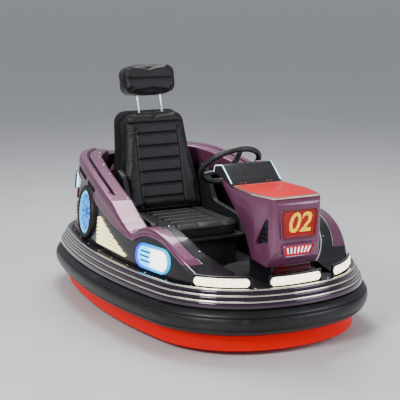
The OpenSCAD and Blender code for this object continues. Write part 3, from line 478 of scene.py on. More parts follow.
def pressed(name, outline, section, place, slot, solid=True, **more):
    """A section of (inset, depth) points carried round an outline in local Y and Z. solid closes both ends."""
    out = normals_2d(outline)
    rows = [[place @ Vector((x, *(p - n * inset))) for inset, x in section] for p, n in zip(outline, out)]
    return new_object(name, grid_mesh(name, rows, True, not solid, solid), slot, **more)

def lens_section(back, front, r, crown, width):
    """Edge of a moulded cover, rounded at the front with radius r, and raised by crown at width in."""
    turns = [math.pi / 8 * k for k in range(5)]
    return ([(0.0, back)] + [(r - r * math.cos(t), front - r + r * math.sin(t)) for t in turns]
            + [(r + (width - r) * k / 4, front + crown * math.sin(math.pi / 8 * k)) for k in range(1, 5)])

def bezel_section(out, inner, back, front, r):
    """Closed section of a frame that reaches from out outside the outline to inner inside it."""
    return [(-out, back), (-out, front - r), (-out + r, front), (inner - r, front), (inner, front - r),
            (inner, back)]

# %% [markdown]
# ## One tree for all that repeats
# Screws, diodes, fins, tread blocks and stitches are one small mesh placed many times. A Geometry Nodes tree does
# it: a point for each copy, a stored turn and size on the point, and a little random turn from a fixed seed.

# %% The repeating tree
def repeating_tree():
    tree = bpy.data.node_groups.new("repeated_piece", "GeometryNodeTree")
    for title, kind in (("Places", "Geometry"), ("Piece", "Object"), ("Loose turn", "Float"), ("Seed", "Int"),
                        ("Finish", "Material")):
        tree.interface.new_socket(title, in_out="INPUT", socket_type="NodeSocket" + kind)
    tree.interface.new_socket("Result", in_out="OUTPUT", socket_type="NodeSocketGeometry")
    given, piece, place, real, coat, result = (tree.nodes.new(kind) for kind in (
        "NodeGroupInput", "GeometryNodeObjectInfo", "GeometryNodeInstanceOnPoints",
        "GeometryNodeRealizeInstances", "GeometryNodeSetMaterial", "NodeGroupOutput"))
    turn = add(tree, "GeometryNodeInputNamedAttribute", data_type="FLOAT_VECTOR", Name="turn")
    grow = add(tree, "GeometryNodeInputNamedAttribute", data_type="FLOAT_VECTOR", Name="grow")
    loose = add(tree, "FunctionNodeRandomValue", data_type="FLOAT_VECTOR")
    loose.inputs[0].default_value, loose.inputs[1].default_value = (-1.0, -1.0, -1.0), (1.0, 1.0, 1.0)
    share = add(tree, "ShaderNodeVectorMath", operation="SCALE")
    whole_turn = add(tree, "ShaderNodeVectorMath", operation="ADD")
    for source, output, target, into in (
            (given, "Piece", piece, "Object"), (given, "Seed", loose, "Seed"), (loose, 0, share, 0),
            (given, "Loose turn", share, "Scale"), (turn, "Attribute", whole_turn, 0), (share, 0, whole_turn, 1),
            (given, "Places", place, "Points"), (piece, "Geometry", place, "Instance"),
            (whole_turn, 0, place, "Rotation"), (grow, "Attribute", place, "Scale"),
            (place, "Instances", real, "Geometry"), (real, "Geometry", coat, "Geometry"),
            (given, "Finish", coat, "Material"), (coat, "Geometry", result, "Result")):
        link(tree, source.outputs[output], target.inputs[into])
    return tree

REPEATED = repeating_tree()
INPUT_ID = {item.name: item.identifier for item in REPEATED.interface.items_tree if item.in_out == "INPUT"}

def plain_mesh(obj):
    view = bpy.context.evaluated_depsgraph_get()
    return bpy.data.meshes.new_from_object(obj.evaluated_get(view))

def settled(obj):
    """Keeps what the modifiers made as the piece's plain mesh, and removes them."""
    mesh = plain_mesh(obj)
    obj.modifiers.clear()
    obj.data = mesh
    return mesh

def repeated(name, piece, places, slot, body="car", loose=0.0, seed=1, finish=None):
    """places is a list of (matrix, size vector). Returns one plain mesh object with every copy."""
    places = [(m @ Matrix.Scale(-1, 4, (0, 1, 0)) if m.determinant() < 0 else m, grow) for m, grow in places]
    points = bpy.data.meshes.new(name + "_places")
    points.from_pydata([m.translation for m, grow in places], [], [])
    turn = points.attributes.new("turn", "FLOAT_VECTOR", "POINT")
    grow_by = points.attributes.new("grow", "FLOAT_VECTOR", "POINT")
    turn.data.foreach_set("vector", [c for m, grow in places for c in m.to_euler()])
    grow_by.data.foreach_set("vector", [c for m, grow in places for c in grow])
    model = bpy.data.objects.new(name + "_piece", piece)
    holder = bpy.data.objects.new(name + "_holder", points)
    for obj in (model, holder):
        bpy.context.scene.collection.objects.link(obj)
    nodes = holder.modifiers.new("repeat", "NODES")
    nodes.node_group = REPEATED
    for title, value in (("Piece", model), ("Loose turn", loose), ("Seed", seed),
                         ("Finish", FINISHES[finish or slot].material)):
        nodes[INPUT_ID[title]] = value
    mesh = plain_mesh(holder)
    for obj in (model, holder):
        bpy.data.objects.remove(obj)
    print(name, len(places), "copies")
    return new_object(name, mesh, slot, body, finish, 40.0)

# %% Small pieces that get repeated
def bar_piece(name, size, edge):
    """A bar with chamfered edges, centred, its foot at local X zero."""
    bm = bmesh.new()
    bmesh.ops.create_cube(bm, size=1.0)
    for v in bm.verts:
        v.co = Vector(((v.co.x + 0.5) * size[0], v.co.y * size[1], v.co.z * size[2]))
    bmesh.ops.bevel(bm, geom=bm.edges[:], offset=edge, segments=1, affect="EDGES")
    return worked(bm, bpy.data.meshes.new(name))

SCREW = turned_mesh("screw", [(0, 0.0008), (0.0019, 0.0008), (0.0021, 0.0026), (0.0036, 0.0023), (0.0046, 0.001),
                              (0.0046, -0.001), (0, -0.001)], 10)
DIODE = turned_mesh("diode", [(0, 0.0012), (0.0009, 0.0009), (0.0015, 0.0), (0, -0.0004)], 6)
ONE, UP, AHEAD = Vector((1, 1, 1)), Vector((0, 0, 1)), Vector((1, 0, 0))

def facing(point, out, up=UP):
    """Matrix at a point with local X along out and local Z near up."""
    x = out.normalized()
    y = up.cross(x).normalized()
    z = x.cross(y)
    return Matrix.Translation(point) @ Matrix((x, y, z)).transposed().to_4x4()

print("small pieces: screw", len(SCREW.polygons), "faces, diode", len(DIODE.polygons))

# %% [markdown]
# ## Ring, band, beads and skirt
# The real ring is extruded rubber on a steel hoop, with two grooves where its skin folds in. Over it lies a
# stepped, mirror-like band with a bright bead on each step, and under it a red diffuser that lights the floor.

# %% Rim pieces
rubber_low, rubber_high = (corner.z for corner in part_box("bumper_rubber"))
bulge = (rubber_high - rubber_low) / 2
ROOT, SKIN = bulge + 0.012, 0.0008
GROOVE_AT, GROOVE_HALF, GROOVE_DEEP = 27.5, 4.0, 0.0045

def bulge_at(degrees, sunk=0.0):
    a = math.radians(degrees)
    return (bulge - (bulge - SKIN - sunk) * math.cos(a), rubber_low + bulge + (bulge - sunk) * math.sin(a))

def groove_depth(degrees):
    away = abs(abs(degrees) - GROOVE_AT)
    return GROOVE_DEEP * max(0.0, 1 - (away / GROOVE_HALF) ** 2)

rubber_section = [(ROOT, rubber_low), (bulge, rubber_low)]
rubber_section += [bulge_at(2.5 * k, groove_depth(2.5 * k)) for k in range(-34, 35)]
rubber_section += [(bulge, rubber_high), (ROOT, rubber_high)]
ring = sweep("rubber_ring", rubber_section, WHOLE, "ring_rubber", closed=True, step=0.016)
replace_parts(ring, "bumper_rubber")

band_low, band_high = (corner.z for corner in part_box("bumper_band"))
STEP_H, STEP_D, BAND_OUT, BAND_BACK = (band_high - band_low) / 3, 0.013, 0.028, 0.080
corners = [(BAND_BACK, band_low, 0)]
for k in range(3):
    out = BAND_OUT + k * STEP_D
    corners += [(out, band_low + k * STEP_H, 0.002), (out + 0.002, band_low + (k + 1) * STEP_H, 0.005)]
corners.append((BAND_BACK, band_high, 0))
band = sweep("stepped_band", rounded(corners), WHOLE, "band_gloss", closed=True)
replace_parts(band, "bumper_band")

BEAD = 0.007
for k in range(1, 4):
    x0, z0 = BAND_OUT + k * STEP_D - 0.0003, band_low + k * STEP_H + 0.0003
    section = rounded([(x0, z0, 0.001), (x0 - BEAD, z0, 0.002), (x0 - BEAD, z0 + BEAD, 0.0035),
                       (x0, z0 + BEAD, 0.001)])
    bead = sweep(f"bright_bead_{k}", section, WHOLE, "trim_bright", closed=True)
    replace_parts(bead, "band_trim")

skirt_low, skirt_high = (corner.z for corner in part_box("underglow_skirt"))
SKIRT_OUT = ROOT - 0.006
skirt_section = rounded([(ROOT, skirt_low, 0.0025), (SKIRT_OUT, skirt_low, 0.0025), (SKIRT_OUT, skirt_high, 0.001),
                         (ROOT, skirt_high, 0.001)])
skirt = sweep("glow_skirt", skirt_section, WHOLE, "glow_red", closed=True)
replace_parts(skirt, "underglow_skirt")

rim_screws = []
for s in stations(WHOLE, 0.165, True):
    p = at(s, 0.096)
    rim_screws.append((facing(Vector((p.x, p.y, band_high)), UP, AHEAD), ONE))
repeated("deck_screws", SCREW, rim_screws, "machined", loose=0.2, seed=3)
print("rim pieces: ring, band, 3 beads, skirt")

# %% [markdown]
# ## Flanks and fairings
# Each side is a black flank with a painted fairing along its top. Both are one section whose corners follow
# curves seen from the side. A corner is written as an inset and a function that gives its height at x.

# %% Side curves
def curve_height(points, x):
    """Height at x of a smooth curve through points in order along X, given as shares of half the length."""
    share = x / HALF
    for i in range(len(points) - 1):
        b, c = points[i], points[i + 1]
        if share <= c[0] or i == len(points) - 2:
            a, d = points[max(i - 1, 0)], points[min(i + 2, len(points) - 1)]
            t = min(max((share - b[0]) / (c[0] - b[0]), 0.0), 1.0)
            a, b, c, d = a[1], b[1], c[1], d[1]
            p = [2 * b, c - a, 2 * a - 5 * b + 4 * c - d, 3 * b - a - 3 * c + d]
            return 0.5 * (p[0] + p[1] * t + p[2] * t * t + p[3] * t ** 3)

DECK_Z = band_high
SHELL_LOW = band_high + 0.0003
LEAN_ANGLE = math.radians(5.5)
FLANK_IN, FLANK_BACK, PROUD, LEAN = 0.104, 0.208, 0.009, math.tan(LEAN_ANGLE)
SWEEP_FROM, SWEEP_TO = 30, 148
WAIST, WAIST_TOP = (0.25, 0.396), (0.24, 0.424)
HAUNCH_EDGE = [(-0.97, 0.585), (-0.81, 0.580), (-0.54, 0.548), (-0.325, 0.512), (-0.045, 0.448), (0.13, 0.412),
               WAIST]
FENDER_EDGE = [WAIST, (0.325, 0.424), (0.4, 0.438), (0.51, 0.424), (0.605, 0.380), (0.69, 0.322),
               (0.755, SHELL_LOW)]
HAUNCH_LINE = [(-0.97, 0.664), (-0.81, 0.668), (-0.54, 0.645), (-0.27, 0.598), (0.0, 0.528), (0.15, 0.456),
               WAIST_TOP]
FENDER_LINE = [WAIST_TOP, (0.315, 0.462), (0.4, 0.474), (0.53, 0.446), (0.65, 0.382), (0.745, 0.318),
               (0.813, SHELL_LOW)]
SLOT_W, SLOT_D, SLOT_FRONT = 0.014, 0.024, -0.060

def low_edge(x):
    return curve_height(HAUNCH_EDGE if x < WAIST[0] * HALF else FENDER_EDGE, x)

def top_line(x):
    return curve_height(HAUNCH_LINE if x < WAIST_TOP[0] * HALF else FENDER_LINE, x)

def slot_wall(depth):
    """Height at x of a point depth down in the slot, which runs out towards the waist."""
    return lambda x: top_line(x) - depth * min(1.0, max(0.0, (SLOT_FRONT - x) / 0.05))

slot_floor = slot_wall(SLOT_D)

def floor_line(x):
    return SHELL_LOW

def shifted(line, d):
    return lambda x: line(x) + d

def between(lower, upper, share):
    return lambda x: lower(x) + (upper(x) - lower(x)) * share

SIDE_ARCS = [part_of(CORNER, SWEEP_FROM, 180), SIDE, part_of(HAUNCH, 0, SWEEP_TO)]

def on_side(s, inset, z, side):
    """A point of a side shell, which leans in from the deck up."""
    p = at(s, inset + (z - SHELL_LOW) * LEAN)
    return Vector((p.x, p.y * side, z))

def side_shell(name, section, slot, side, step=0.008, finish=None):
    rows = [[on_side(s, inset, max(SHELL_LOW, line(at(s, inset).x)), side) for inset, line in section]
            for s in stations(SIDE_ARCS, step, False)]
    return new_object(name, grid_mesh(name, rows, False), slot, finish=finish)

# %% Fairing and flank sections
OUT, SLOT_OUT, SHOULDER_R = FLANK_IN - PROUD, FLANK_IN + 0.028, 0.012
SLOT_IN = SLOT_OUT + SLOT_W

def shoulder(inset, start, end):
    turns = [math.radians(start + (end - start) * k / 5) for k in range(6)]
    return [(inset + SHOULDER_R * math.cos(t), shifted(top_line, SHOULDER_R * math.sin(t) - SHOULDER_R))
            for t in turns]

fairing_section = [(OUT + 0.003, low_edge), (OUT, shifted(low_edge, 0.003)),
                   (OUT - 0.001, shifted(low_edge, 0.012)), (OUT + 0.0015, between(low_edge, top_line, 0.45)),
                   (OUT + 0.0005, between(low_edge, top_line, 0.52))]
fairing_section += shoulder(OUT + SHOULDER_R, 180, 90)
fairing_section += [(SLOT_OUT - 0.003, top_line), (SLOT_OUT, slot_wall(0.003)), (SLOT_OUT, slot_floor),
                    (SLOT_IN, slot_floor), (SLOT_IN, slot_wall(0.003)), (SLOT_IN + 0.003, top_line)]
fairing_section += [(SLOT_IN + 0.003 + 0.0075 * k, top_line) for k in range(1, 6)]
fairing_section += shoulder(FLANK_BACK - SHOULDER_R, 90, 0) + [(FLANK_BACK, low_edge)]
flank_section = [(FLANK_BACK, floor_line), (FLANK_IN + 0.004, floor_line), (FLANK_IN, shifted(floor_line, 0.004)),
                 (FLANK_IN, shifted(low_edge, -0.001)), (FLANK_BACK, shifted(low_edge, -0.001))]

for side, word in SIDES:
    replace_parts(side_shell(f"flank_shell_{word}", flank_section, "black_gloss", side), f"flank_{word}")

# %% [markdown]
# The front fenders are painted on a strip along their outer top only. Their inner side is gloss black, and a thin
# gasket covers the change. The finish finds that line in a mesh attribute, which holds the distance to it.

# %% Fairings with their inner trim
TRIM_IN, TRIM_FROM, TRIM_EASE, TRIM_LOW = FLANK_IN + 0.046, 0.27, 0.15, SHELL_LOW + 0.080
TRIM_OFF = FLANK_BACK + 0.006
FAIRING_STEP, GASKET_FROM, GASKET_R = 0.005, 0.30, 0.0022

def trim_edge(x):
    """Inset where the painted strip ends. Behind the fenders it lies past the shell, which is all painted."""
    t = min(1.0, max(0.0, (x / HALF - TRIM_FROM) / TRIM_EASE))
    return TRIM_OFF + (TRIM_IN - TRIM_OFF) * t * t * (3 - 2 * t)

def inset_of(p):
    """How far a point of a side shell lies inside the plan curve, with the lean taken off."""
    for centre, r, start, end in SIDE_ARCS:
        v = Vector((p.x, abs(p.y))) - centre
        if start - 0.0001 <= heading(v) <= end + 0.0001:
            return r - v.length - (p.z - SHELL_LOW) * LEAN
    return FLANK_IN

def mark_trim(obj):
    layer = obj.data.attributes.new("inner_trim", "FLOAT", "POINT")
    for vert in obj.data.vertices:
        p = vert.co
        layer.data[vert.index].value = max(inset_of(p) - trim_edge(p.x), TRIM_LOW - p.z)
    return obj

def gasket_rows(side):
    """Rows of a thin cord on the fender's top, along the line where the trim begins."""
    rows = []
    for s in stations(SIDE_ARCS, FAIRING_STEP, False):
        inset = trim_edge(at(s, trim_edge(at(s, TRIM_IN).x)).x)
        x = at(s, inset).x
        z = top_line(x)
        if x > GASKET_FROM * HALF and z > TRIM_LOW:
            ring = [(at(s, inset + GASKET_R * math.cos(a) + (z - SHELL_LOW) * LEAN), z + GASKET_R * math.sin(a))
                    for a in turns_of(8)]
            rows.append([Vector((q.x, q.y * side, height)) for q, height in ring])
    return rows

for side, word in SIDES:
    shell = side_shell(f"fairing_shell_{word}", fairing_section, "plum_paint", side, FAIRING_STEP, "fairing_plum")
    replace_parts(mark_trim(shell), f"fairing_{word}")
    gasket = grid_mesh(f"trim_gasket_{word}", gasket_rows(side), False)
    new_object(f"trim_gasket_{word}", gasket, "plum_paint", finish="black_gloss")
print("side shells: 4, gaskets: 2")

# %% [markdown]
# Fins stand across the dark slot along each haunch, and a row of screws holds the fairing from inside. Both
# follow the top line, so their places come from the same stations.

# %% Slot fins and fairing screws
FIN = bar_piece("slot_fin", (0.020, 0.0136, 0.003), 0.0008)

def top_places(inset, line, step, side, x_from, x_to):
    """Places on top of a fairing, local X up and local Z along the car."""
    found = []
    for s in stations(SIDE_ARCS, step, False):
        x = at(s, inset).x
        if x_from < x < x_to:
            along = Vector((-math.sin(s[1]), math.cos(s[1]) * side, 0))
            found.append((facing(on_side(s, inset, line(x), side), UP, along), ONE))
    return found

fin_places, screw_places = [], []
for side, word in SIDES:
    fin_places += top_places(SLOT_OUT + SLOT_W / 2, slot_floor, 0.012, side, -0.85, -0.115)
    screw_places += top_places(FLANK_BACK - 0.018, top_line, 0.14, side, -0.80, 0.60)
repeated("slot_fins", FIN, fin_places, "black_gloss")
repeated("fairing_screws", SCREW, screw_places, "machined", loose=0.3, seed=5)

# %% [markdown]
# ## Softened edges
# Pressed steel and moulded plastic never have knife edges, and it is the lit edge that tells the eye what a
# thing is made of. A merged copy of a frame node gets a small bevel on its sharp edges and stands for it.

# %% Bevelled copies of the frame's own pieces
MERGE = 0.00001

def merged(node):
    """A working copy of a frame node's mesh, with its doubled points merged."""
    bm = bmesh.new()
    bm.from_mesh(NODES[node].data)
    bmesh.ops.remove_doubles(bm, verts=bm.verts, dist=MERGE)
    return bm

def softened(node, width):
    bm = merged(node)
    bmesh.ops.dissolve_limit(bm, angle_limit=math.radians(0.6), verts=bm.verts, edges=bm.edges)
    bmesh.ops.recalc_face_normals(bm, faces=bm.faces)
    mesh = worked(bm, bpy.data.meshes.new(node + "_finished"))
    obj = new_object(node + "_finished", mesh, SLOT_OF[node], NODES[node]["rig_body"], OWN_FINISH.get(node))
    bevel = obj.modifiers.new("edge", "BEVEL")
    bevel.width, bevel.segments, bevel.limit_method, bevel.angle_limit = width, 3, "ANGLE", math.radians(32)
    smoothed(settled(obj), 40.0)
    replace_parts(obj, node)

SOFTENED = {
    "nose_cowl": 0.006, "nose_hood": 0.003, "nose_pillar": 0.004, "dashboard": 0.005, "column_housing": 0.003,
    "kingpin_cover": 0.005, "tail_panel": 0.004, "rear_cover": 0.008, "slat_panels": 0.0015,
    "number_display": 0.002, "tail_display": 0.002, "seat_shell": 0.004, "seat_box": 0.003, "foot_pedals": 0.002,
    "sill_trims": 0.002, "nose_intake": 0.001, "cockpit_tub": 0.002, "deck": 0.002, "headrest_posts": 0.001,
    "frame_hoop": 0.0015, "frame_flanges": 0.001, "floor_rails": 0.003, "floor_pan": 0.001, "rear_axle": 0.002,
    "kingpin_bridge": 0.001, "battery": 0.004, "drive_fork": 0.002, "drive_motor": 0.003, "drive_hub": 0.0012,
    "rear_hub_left": 0.0012, "rear_hub_right": 0.0012,
}
for node, width in SOFTENED.items():
    softened(node, width)
print("softened:", len(SOFTENED))

# %% [markdown]
# ## Lamps on the flanks
# Each lamp is a moulded lens in a bezel, and each sits square on the leaning flank. A matrix gives that seat, so
# a lamp can be drawn flat in its own Y and Z and then placed, on either side of the car.

# %% Seats of the lamps
def flank_seat(arc, angle, z, side, inset=FLANK_IN):
    p = at((arc, angle), inset + (z - DECK_Z) * LEAN)
    seat = (Matrix.Translation((p.x, p.y, z)) @ Matrix.Rotation(angle, 4, "Z")
            @ Matrix.Rotation(-LEAN_ANGLE, 4, "Y"))
    return seat if side > 0 else Matrix.Scale(-1, 4, (0, 1, 0)) @ seat

def side_seat(share, z, side, inset=FLANK_IN):
    return flank_seat(SIDE, math.acos(share * HALF / (SIDE_R - FLANK_IN)), z, side, inset)

def haunch_seat(degrees, z, side):
    return flank_seat(HAUNCH, math.radians(degrees), z, side)

def moved(seat, *by):
    return seat @ Matrix.Translation(by)

def turned(seat, degrees, axis="X"):
    return seat @ Matrix.Rotation(math.radians(degrees), 4, axis)

OVAL = (0.432, 0.350, 0.250, 0.112)
ROUND = (-0.365, 0.418, 0.264)
BLOCK = (128, 0.532, 0.196, 0.078)
MARKER = (116, 0.466, 0.074, 0.046)
PILL = (128, 0.385, 0.066, 0.104)

# %% Oval lamp: cyan halo, white lens, fins over its rear half
BEZEL_W = 0.013
HALO_SECTION = [(0.0005, -0.015), (0.0005, 0.007), (0.003, 0.011), (0.008, 0.0118), (BEZEL_W, 0.008),
                (BEZEL_W, -0.015)]
OVAL_FIN = bar_piece("oval_fin", (0.0055, 0.074, 0.0075), 0.0015)
fin_places = []
for side, word in SIDES:
    share, z, width, height = OVAL
    seat = side_seat(share, z, side)
    halo = pressed(f"oval_halo_{word}", slab(width, height, height / 2 - 0.001, 16), HALO_SECTION, seat,
                   "bezel_bright", solid=False)
    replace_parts(halo, "lamp_bezels")
    outline = slab(width - 2 * BEZEL_W, height - 2 * BEZEL_W, height / 2 - BEZEL_W - 0.001, 16)
    lens = pressed(f"oval_lens_{word}", outline, lens_section(-0.015, 0.005, 0.004, 0.0022, 0.036), seat,
                   "lamp_warm", finish="oval_diffuser")
    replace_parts(lens, "oval_lamps")
    fin_places += [(moved(seat, 0.004, y, z), ONE) for y, z in ((0.050, -0.0205), (0.056, 0), (0.050, 0.0205))]
repeated("oval_fins", OVAL_FIN, fin_places, "bezel_bright", finish="fin_blue")

# %% Wheel-like lamp: dark tyre, white rim, blue dish
SPOKE = bar_piece("lamp_spoke", (0.0045, 0.009, 0.040), 0.0015)
r = ROUND[2] / 2 - 0.0003
TYRE_SECTION = [(r, -0.024), (r, 0.006), (r - 0.003, 0.013), (r - 0.009, 0.0185), (r - 0.016, 0.0198),
                (r - 0.022, 0.0185), (r - 0.0262, 0.013), (r - 0.0262, -0.024)]
r -= 0.0266
RIM_SECTION = [(r, -0.020), (r, 0.010), (r - 0.003, 0.0135), (r - 0.008, 0.0142), (r - 0.014, 0.0125),
               (r - 0.0165, 0.006), (r - 0.0165, -0.020)]
DISH_PROFILE = [(0, -0.020), (r - 0.0167, -0.020), (r - 0.0167, 0.004), (r - 0.026, 0.0055), (0.030, 0.0005),
                (0.024, 0.0065), (0.010, 0.0095), (0, 0.0100)]
spokes, dots = [], []
for side, word in SIDES:
    seat = side_seat(ROUND[0], ROUND[1], side)
    tyre_ring = lathe(f"lamp_tyre_{word}", TYRE_SECTION, seat, "black_matte", 96)
    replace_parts(tyre_ring, "wheel_lamp_tyres")
    rim = lathe(f"lamp_rim_{word}", RIM_SECTION, seat, "lamp_cool", 96, finish="cyan_rim")
    bowl = lathe(f"lamp_dish_{word}", DISH_PROFILE, seat, "lamp_cool", 96, finish="deep_blue")
    for piece in (rim, bowl):
        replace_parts(piece, "wheel_lamps")
    spokes += [(moved(turned(seat, 36 * k), 0.003, 0, 0.052), ONE) for k in range(10)]
    dots += [(moved(turned(seat, 9 * k), 0.0142, 0, 0.0965), ONE * 1.3) for k in range(40)]
repeated("lamp_spokes", SPOKE, spokes, "lamp_cool", finish="cyan_rim")
repeated("rim_diodes", DIODE, dots, "lamp_cool")

# %% Block, marker and pill lamps on the rear corners
def haunch_lamp(kind, word, side, spec, r, front, slot, node):
    degrees, z, width, height = spec
    seat = haunch_seat(degrees, z, side)
    lens = pressed(f"{kind}_lens_{word}", slab(width - 0.0006, height - 0.0006, r, 8),
                   lens_section(-0.0115, front, 0.004, 0.0012, r * 0.8), seat, slot)
    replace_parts(lens, node)
    pressed(f"{kind}_bezel_{word}", slab(width, height, r, 8), bezel_section(0.0035, -0.0002, -0.002, front, 0.001),
            seat, "black_gloss", solid=False)
    return seat

RIB = bar_piece("lamp_rib", (0.0022, 0.0018, 0.060), 0.0006)
ribs = []
for side, word in SIDES:
    seat = haunch_lamp("block", word, side, BLOCK, 0.010, 0.006, "lamp_cool", "block_lamps")
    ribs += [(moved(seat, 0.0062, y * 0.012, 0), ONE) for y in range(-7, 8)]
    haunch_lamp("marker", word, side, MARKER, 0.008, 0.005, "lamp_amber", "marker_lamps")
    haunch_lamp("pill", word, side, PILL, PILL[2] / 2 - 0.002, 0.006, "lamp_cool", "pill_lamps")
repeated("block_ribs", RIB, ribs, "lamp_cool")

# %% Front light bars: dark housings, lit covers and diodes
BAR_H, BAR_OUT, BAR_BACK = 0.054, BAND_BACK + 0.001, FLANK_IN - PROUD - 0.0003
corner_bar = part_of(CORNER, 20, 56)
BARS = {"middle": part_of(FRONT, -12, 12), "left": corner_bar, "right": flipped(corner_bar)}

def trimmed(arc, d):
    """An arc shorter by d metres at both ends."""
    return (arc[0], arc[1], arc[2] + d / arc[1], arc[3] - d / arc[1])

def rounded_bar(name, section, arc, slot):
    """A bar along an arc whose section shrinks towards its middle height at both ends, so the ends are round."""
    lows, highs = min(q[1] for q in section), max(q[1] for q in section)
    middle, half = (lows + highs) / 2, (highs - lows) / 2
    whole = arc[1] * (arc[3] - arc[2])
    ends = [half * (1 - math.cos(math.pi / 2 * k / 8)) for k in range(8)]
    count = round((whole - 2 * half) / 0.006)
    runs = ends + [half + (whole - 2 * half) * k / count for k in range(count + 1)]
    runs += [whole - run for run in reversed(ends)]
    rows = []
    for run in runs:
        near = min(1.0, min(run, whole - run) / half)
        size = max(0.06, math.sqrt(1 - (1 - near) ** 2))
        s = (arc, arc[2] + run / arc[1])
        rows.append([Vector((*at(s, q[0]), middle + (q[1] - middle) * size)) for q in section])
    return new_object(name, grid_mesh(name, rows, False), slot)

low, high = SHELL_LOW, SHELL_LOW + BAR_H
housing = rounded([(BAR_BACK, low, 0), (BAR_OUT + 0.003, low, 0.001), (BAR_OUT + 0.005, high, 0.003),
                   (BAR_BACK, high, 0)])
cover = rounded([(BAR_BACK - 0.002, low + 0.008, 0.001), (BAR_OUT + 0.0006, low + 0.008, 0.005),
                 (BAR_OUT + 0.0026, low + BAR_H - 0.008, 0.005), (BAR_BACK - 0.002, low + BAR_H - 0.008, 0.001)])
dots = []
for word, arc in BARS.items():
    box = sweep(f"bar_housing_{word}", housing, [arc], "lamp_warm", finish="black_gloss")
    lens = rounded_bar(f"bar_cover_{word}", cover, trimmed(arc, 0.008), "lamp_warm")
    for piece in (box, lens):
        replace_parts(piece, "light_bars")
    for s in stations([trimmed(arc, 0.024)], 0.011, False):
        out = Vector((math.cos(s[1]), math.sin(s[1]), 0.04))
        for z in (0.016, 0.027, 0.038):
            p = at(s, BAR_OUT + 0.0006 + 0.0024 * z / BAR_H)
            dots.append((facing(Vector((p.x, p.y, low + z)), out), ONE * 1.6))
repeated("bar_diodes", DIODE, dots, "lamp_warm")

# %% [markdown]
# ## The number and the tail display
# The real displays are dot matrices behind a clear cover. A grid of small domes fills the outline, and a ray
# from each dot to the flat digits tells whether it is lit yellow or red. The digits are text made a mesh.

# %% Dot matrices
def face_tree(mesh):
    return BVHTree.FromPolygons([v.co for v in mesh.vertices], [face.vertices[:] for face in mesh.polygons])

def text_tree(words, size, shear):
    """Flat text as a tree of faces, which a ray from each dot can test."""
    text = bpy.data.curves.new("digits", "FONT")
    text.body, text.size, text.shear = words, size, shear
    text.align_x, text.align_y, text.offset = "CENTER", "CENTER", 0.0022
    holder = bpy.data.objects.new("digits", text)
    bpy.context.scene.collection.objects.link(holder)
    bpy.context.view_layer.update()
    mesh = plain_mesh(holder)
    bpy.data.objects.remove(holder)
    return face_tree(mesh)

def inside(outline, y, z):
    hit = False
    for i, a in enumerate(outline):
        b = outline[i - 1]
        if (a.y > z) != (b.y > z) and y < (b.x - a.x) * (z - a.y) / (b.y - a.y) + a.x:
            hit = not hit
    return hit

def dots_inside(outline, pitch, rows, columns):
    """The dots of a matrix that lie inside an outline, row by row."""
    grid = [(column * pitch, row * pitch) for row in range(-rows, rows + 1)
            for column in range(-columns, columns + 1)]
    return [(y, z) for y, z in grid if inside(outline, y, z)]

nose_x1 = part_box("nose_cowl")[1].x
HOOD_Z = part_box("nose_hood")[1].z
DISPLAY_Z = HOOD_Z - 0.111
display_seat = Matrix.Translation((nose_x1, 0, DISPLAY_Z))
dw, dh = 0.176 / 2 - 0.010, 0.122 / 2 - 0.010
display_outline = both_ways([(dw * 0.9, -dh, 0.006), (dw, dh * 0.7, 0.006), (dw * 0.92, dh, 0.006)])
digits = text_tree("02", 0.112, 0.22)
yellow, red = [], []
for y, z in dots_inside(display_outline, pitch=0.0038, rows=14, columns=21):
    seen = digits.ray_cast(Vector((y, z, 0.1)), Vector((0, 0, -1)))[0]
    (red if seen is None else yellow).append((moved(display_seat, 0.002, y, z), ONE * 1.15))
repeated("number_dots", DIODE, yellow, "display_red", finish="digit_yellow")
repeated("field_dots", DIODE, red, "display_red", finish="dot_red")

TAIL_Z = 0.500
tail_seat = flank_seat(REAR, math.pi, TAIL_Z, 1)
tw, th = 0.250 / 2 - 0.016, 0.196 / 2 - 0.016
tail_outline = both_ways([(tw * 0.72, -th, 0.012), (tw, 0.1 * th, 0.014), (tw * 0.86, th, 0.012)])
cross, field = [], []
for y, z in dots_inside(tail_outline, pitch=0.005, rows=17, columns=23):
    near = min(abs(z - 0.9 * y), abs(z + 0.9 * y))
    place = (moved(tail_seat, -0.0035 if near < 0.0095 else 0.0002, y, z), ONE * 1.3)
    (cross if near < 0.012 else field).append(place)
repeated("tail_cross_dots", DIODE, cross, "display_tail", finish="violet")
repeated("tail_field_dots", DIODE, field[::2], "display_tail", finish="dot_red")

# %% [markdown]
# ## Console trim
# The hood plate has a pale rolled edge and the display a raised frame. Louvres fill the triangular vents, pale
# fins stand in the lit mouth under the display, and a glowing cord along each edge of the dash paints its
# highlight.

# %% Hood edge, display frame and side vents
UPWARD = Matrix(((0, 1, 0, 0), (0, 0, 1, 0), (1, 0, 0, 0), (0, 0, 0, 1)))
NOSE_HALF = 0.264 / 2
hood_x0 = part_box("nose_hood")[0].x
hood_outline = front_to_back([(hood_x0, NOSE_HALF - 0.008, 0.010), (nose_x1 - 0.145, NOSE_HALF + 0.002, 0.090),
                              (nose_x1 - 0.014, NOSE_HALF - 0.022, 0.022)], 10)
hood_edge = [(-0.0018, HOOD_Z - 0.0075), (-0.0018, HOOD_Z - 0.002), (0.0002, HOOD_Z + 0.0008),
             (0.004, HOOD_Z + 0.0008), (0.004, HOOD_Z - 0.0075)]
pressed("hood_edge", hood_outline, hood_edge, UPWARD, "trim_bright", solid=False)
frame_outline = both_ways([(dw * 0.9 + 0.014, -dh - 0.012, 0.010), (dw + 0.014, dh * 0.7, 0.010),
                           (dw * 0.92 + 0.012, dh + 0.012, 0.010)], 6)
frame_section = bezel_section(0.0, 0.0055, -0.004, 0.0045, 0.0015)
pressed("display_frame", frame_outline, frame_section, display_seat, "plum_paint", solid=False)

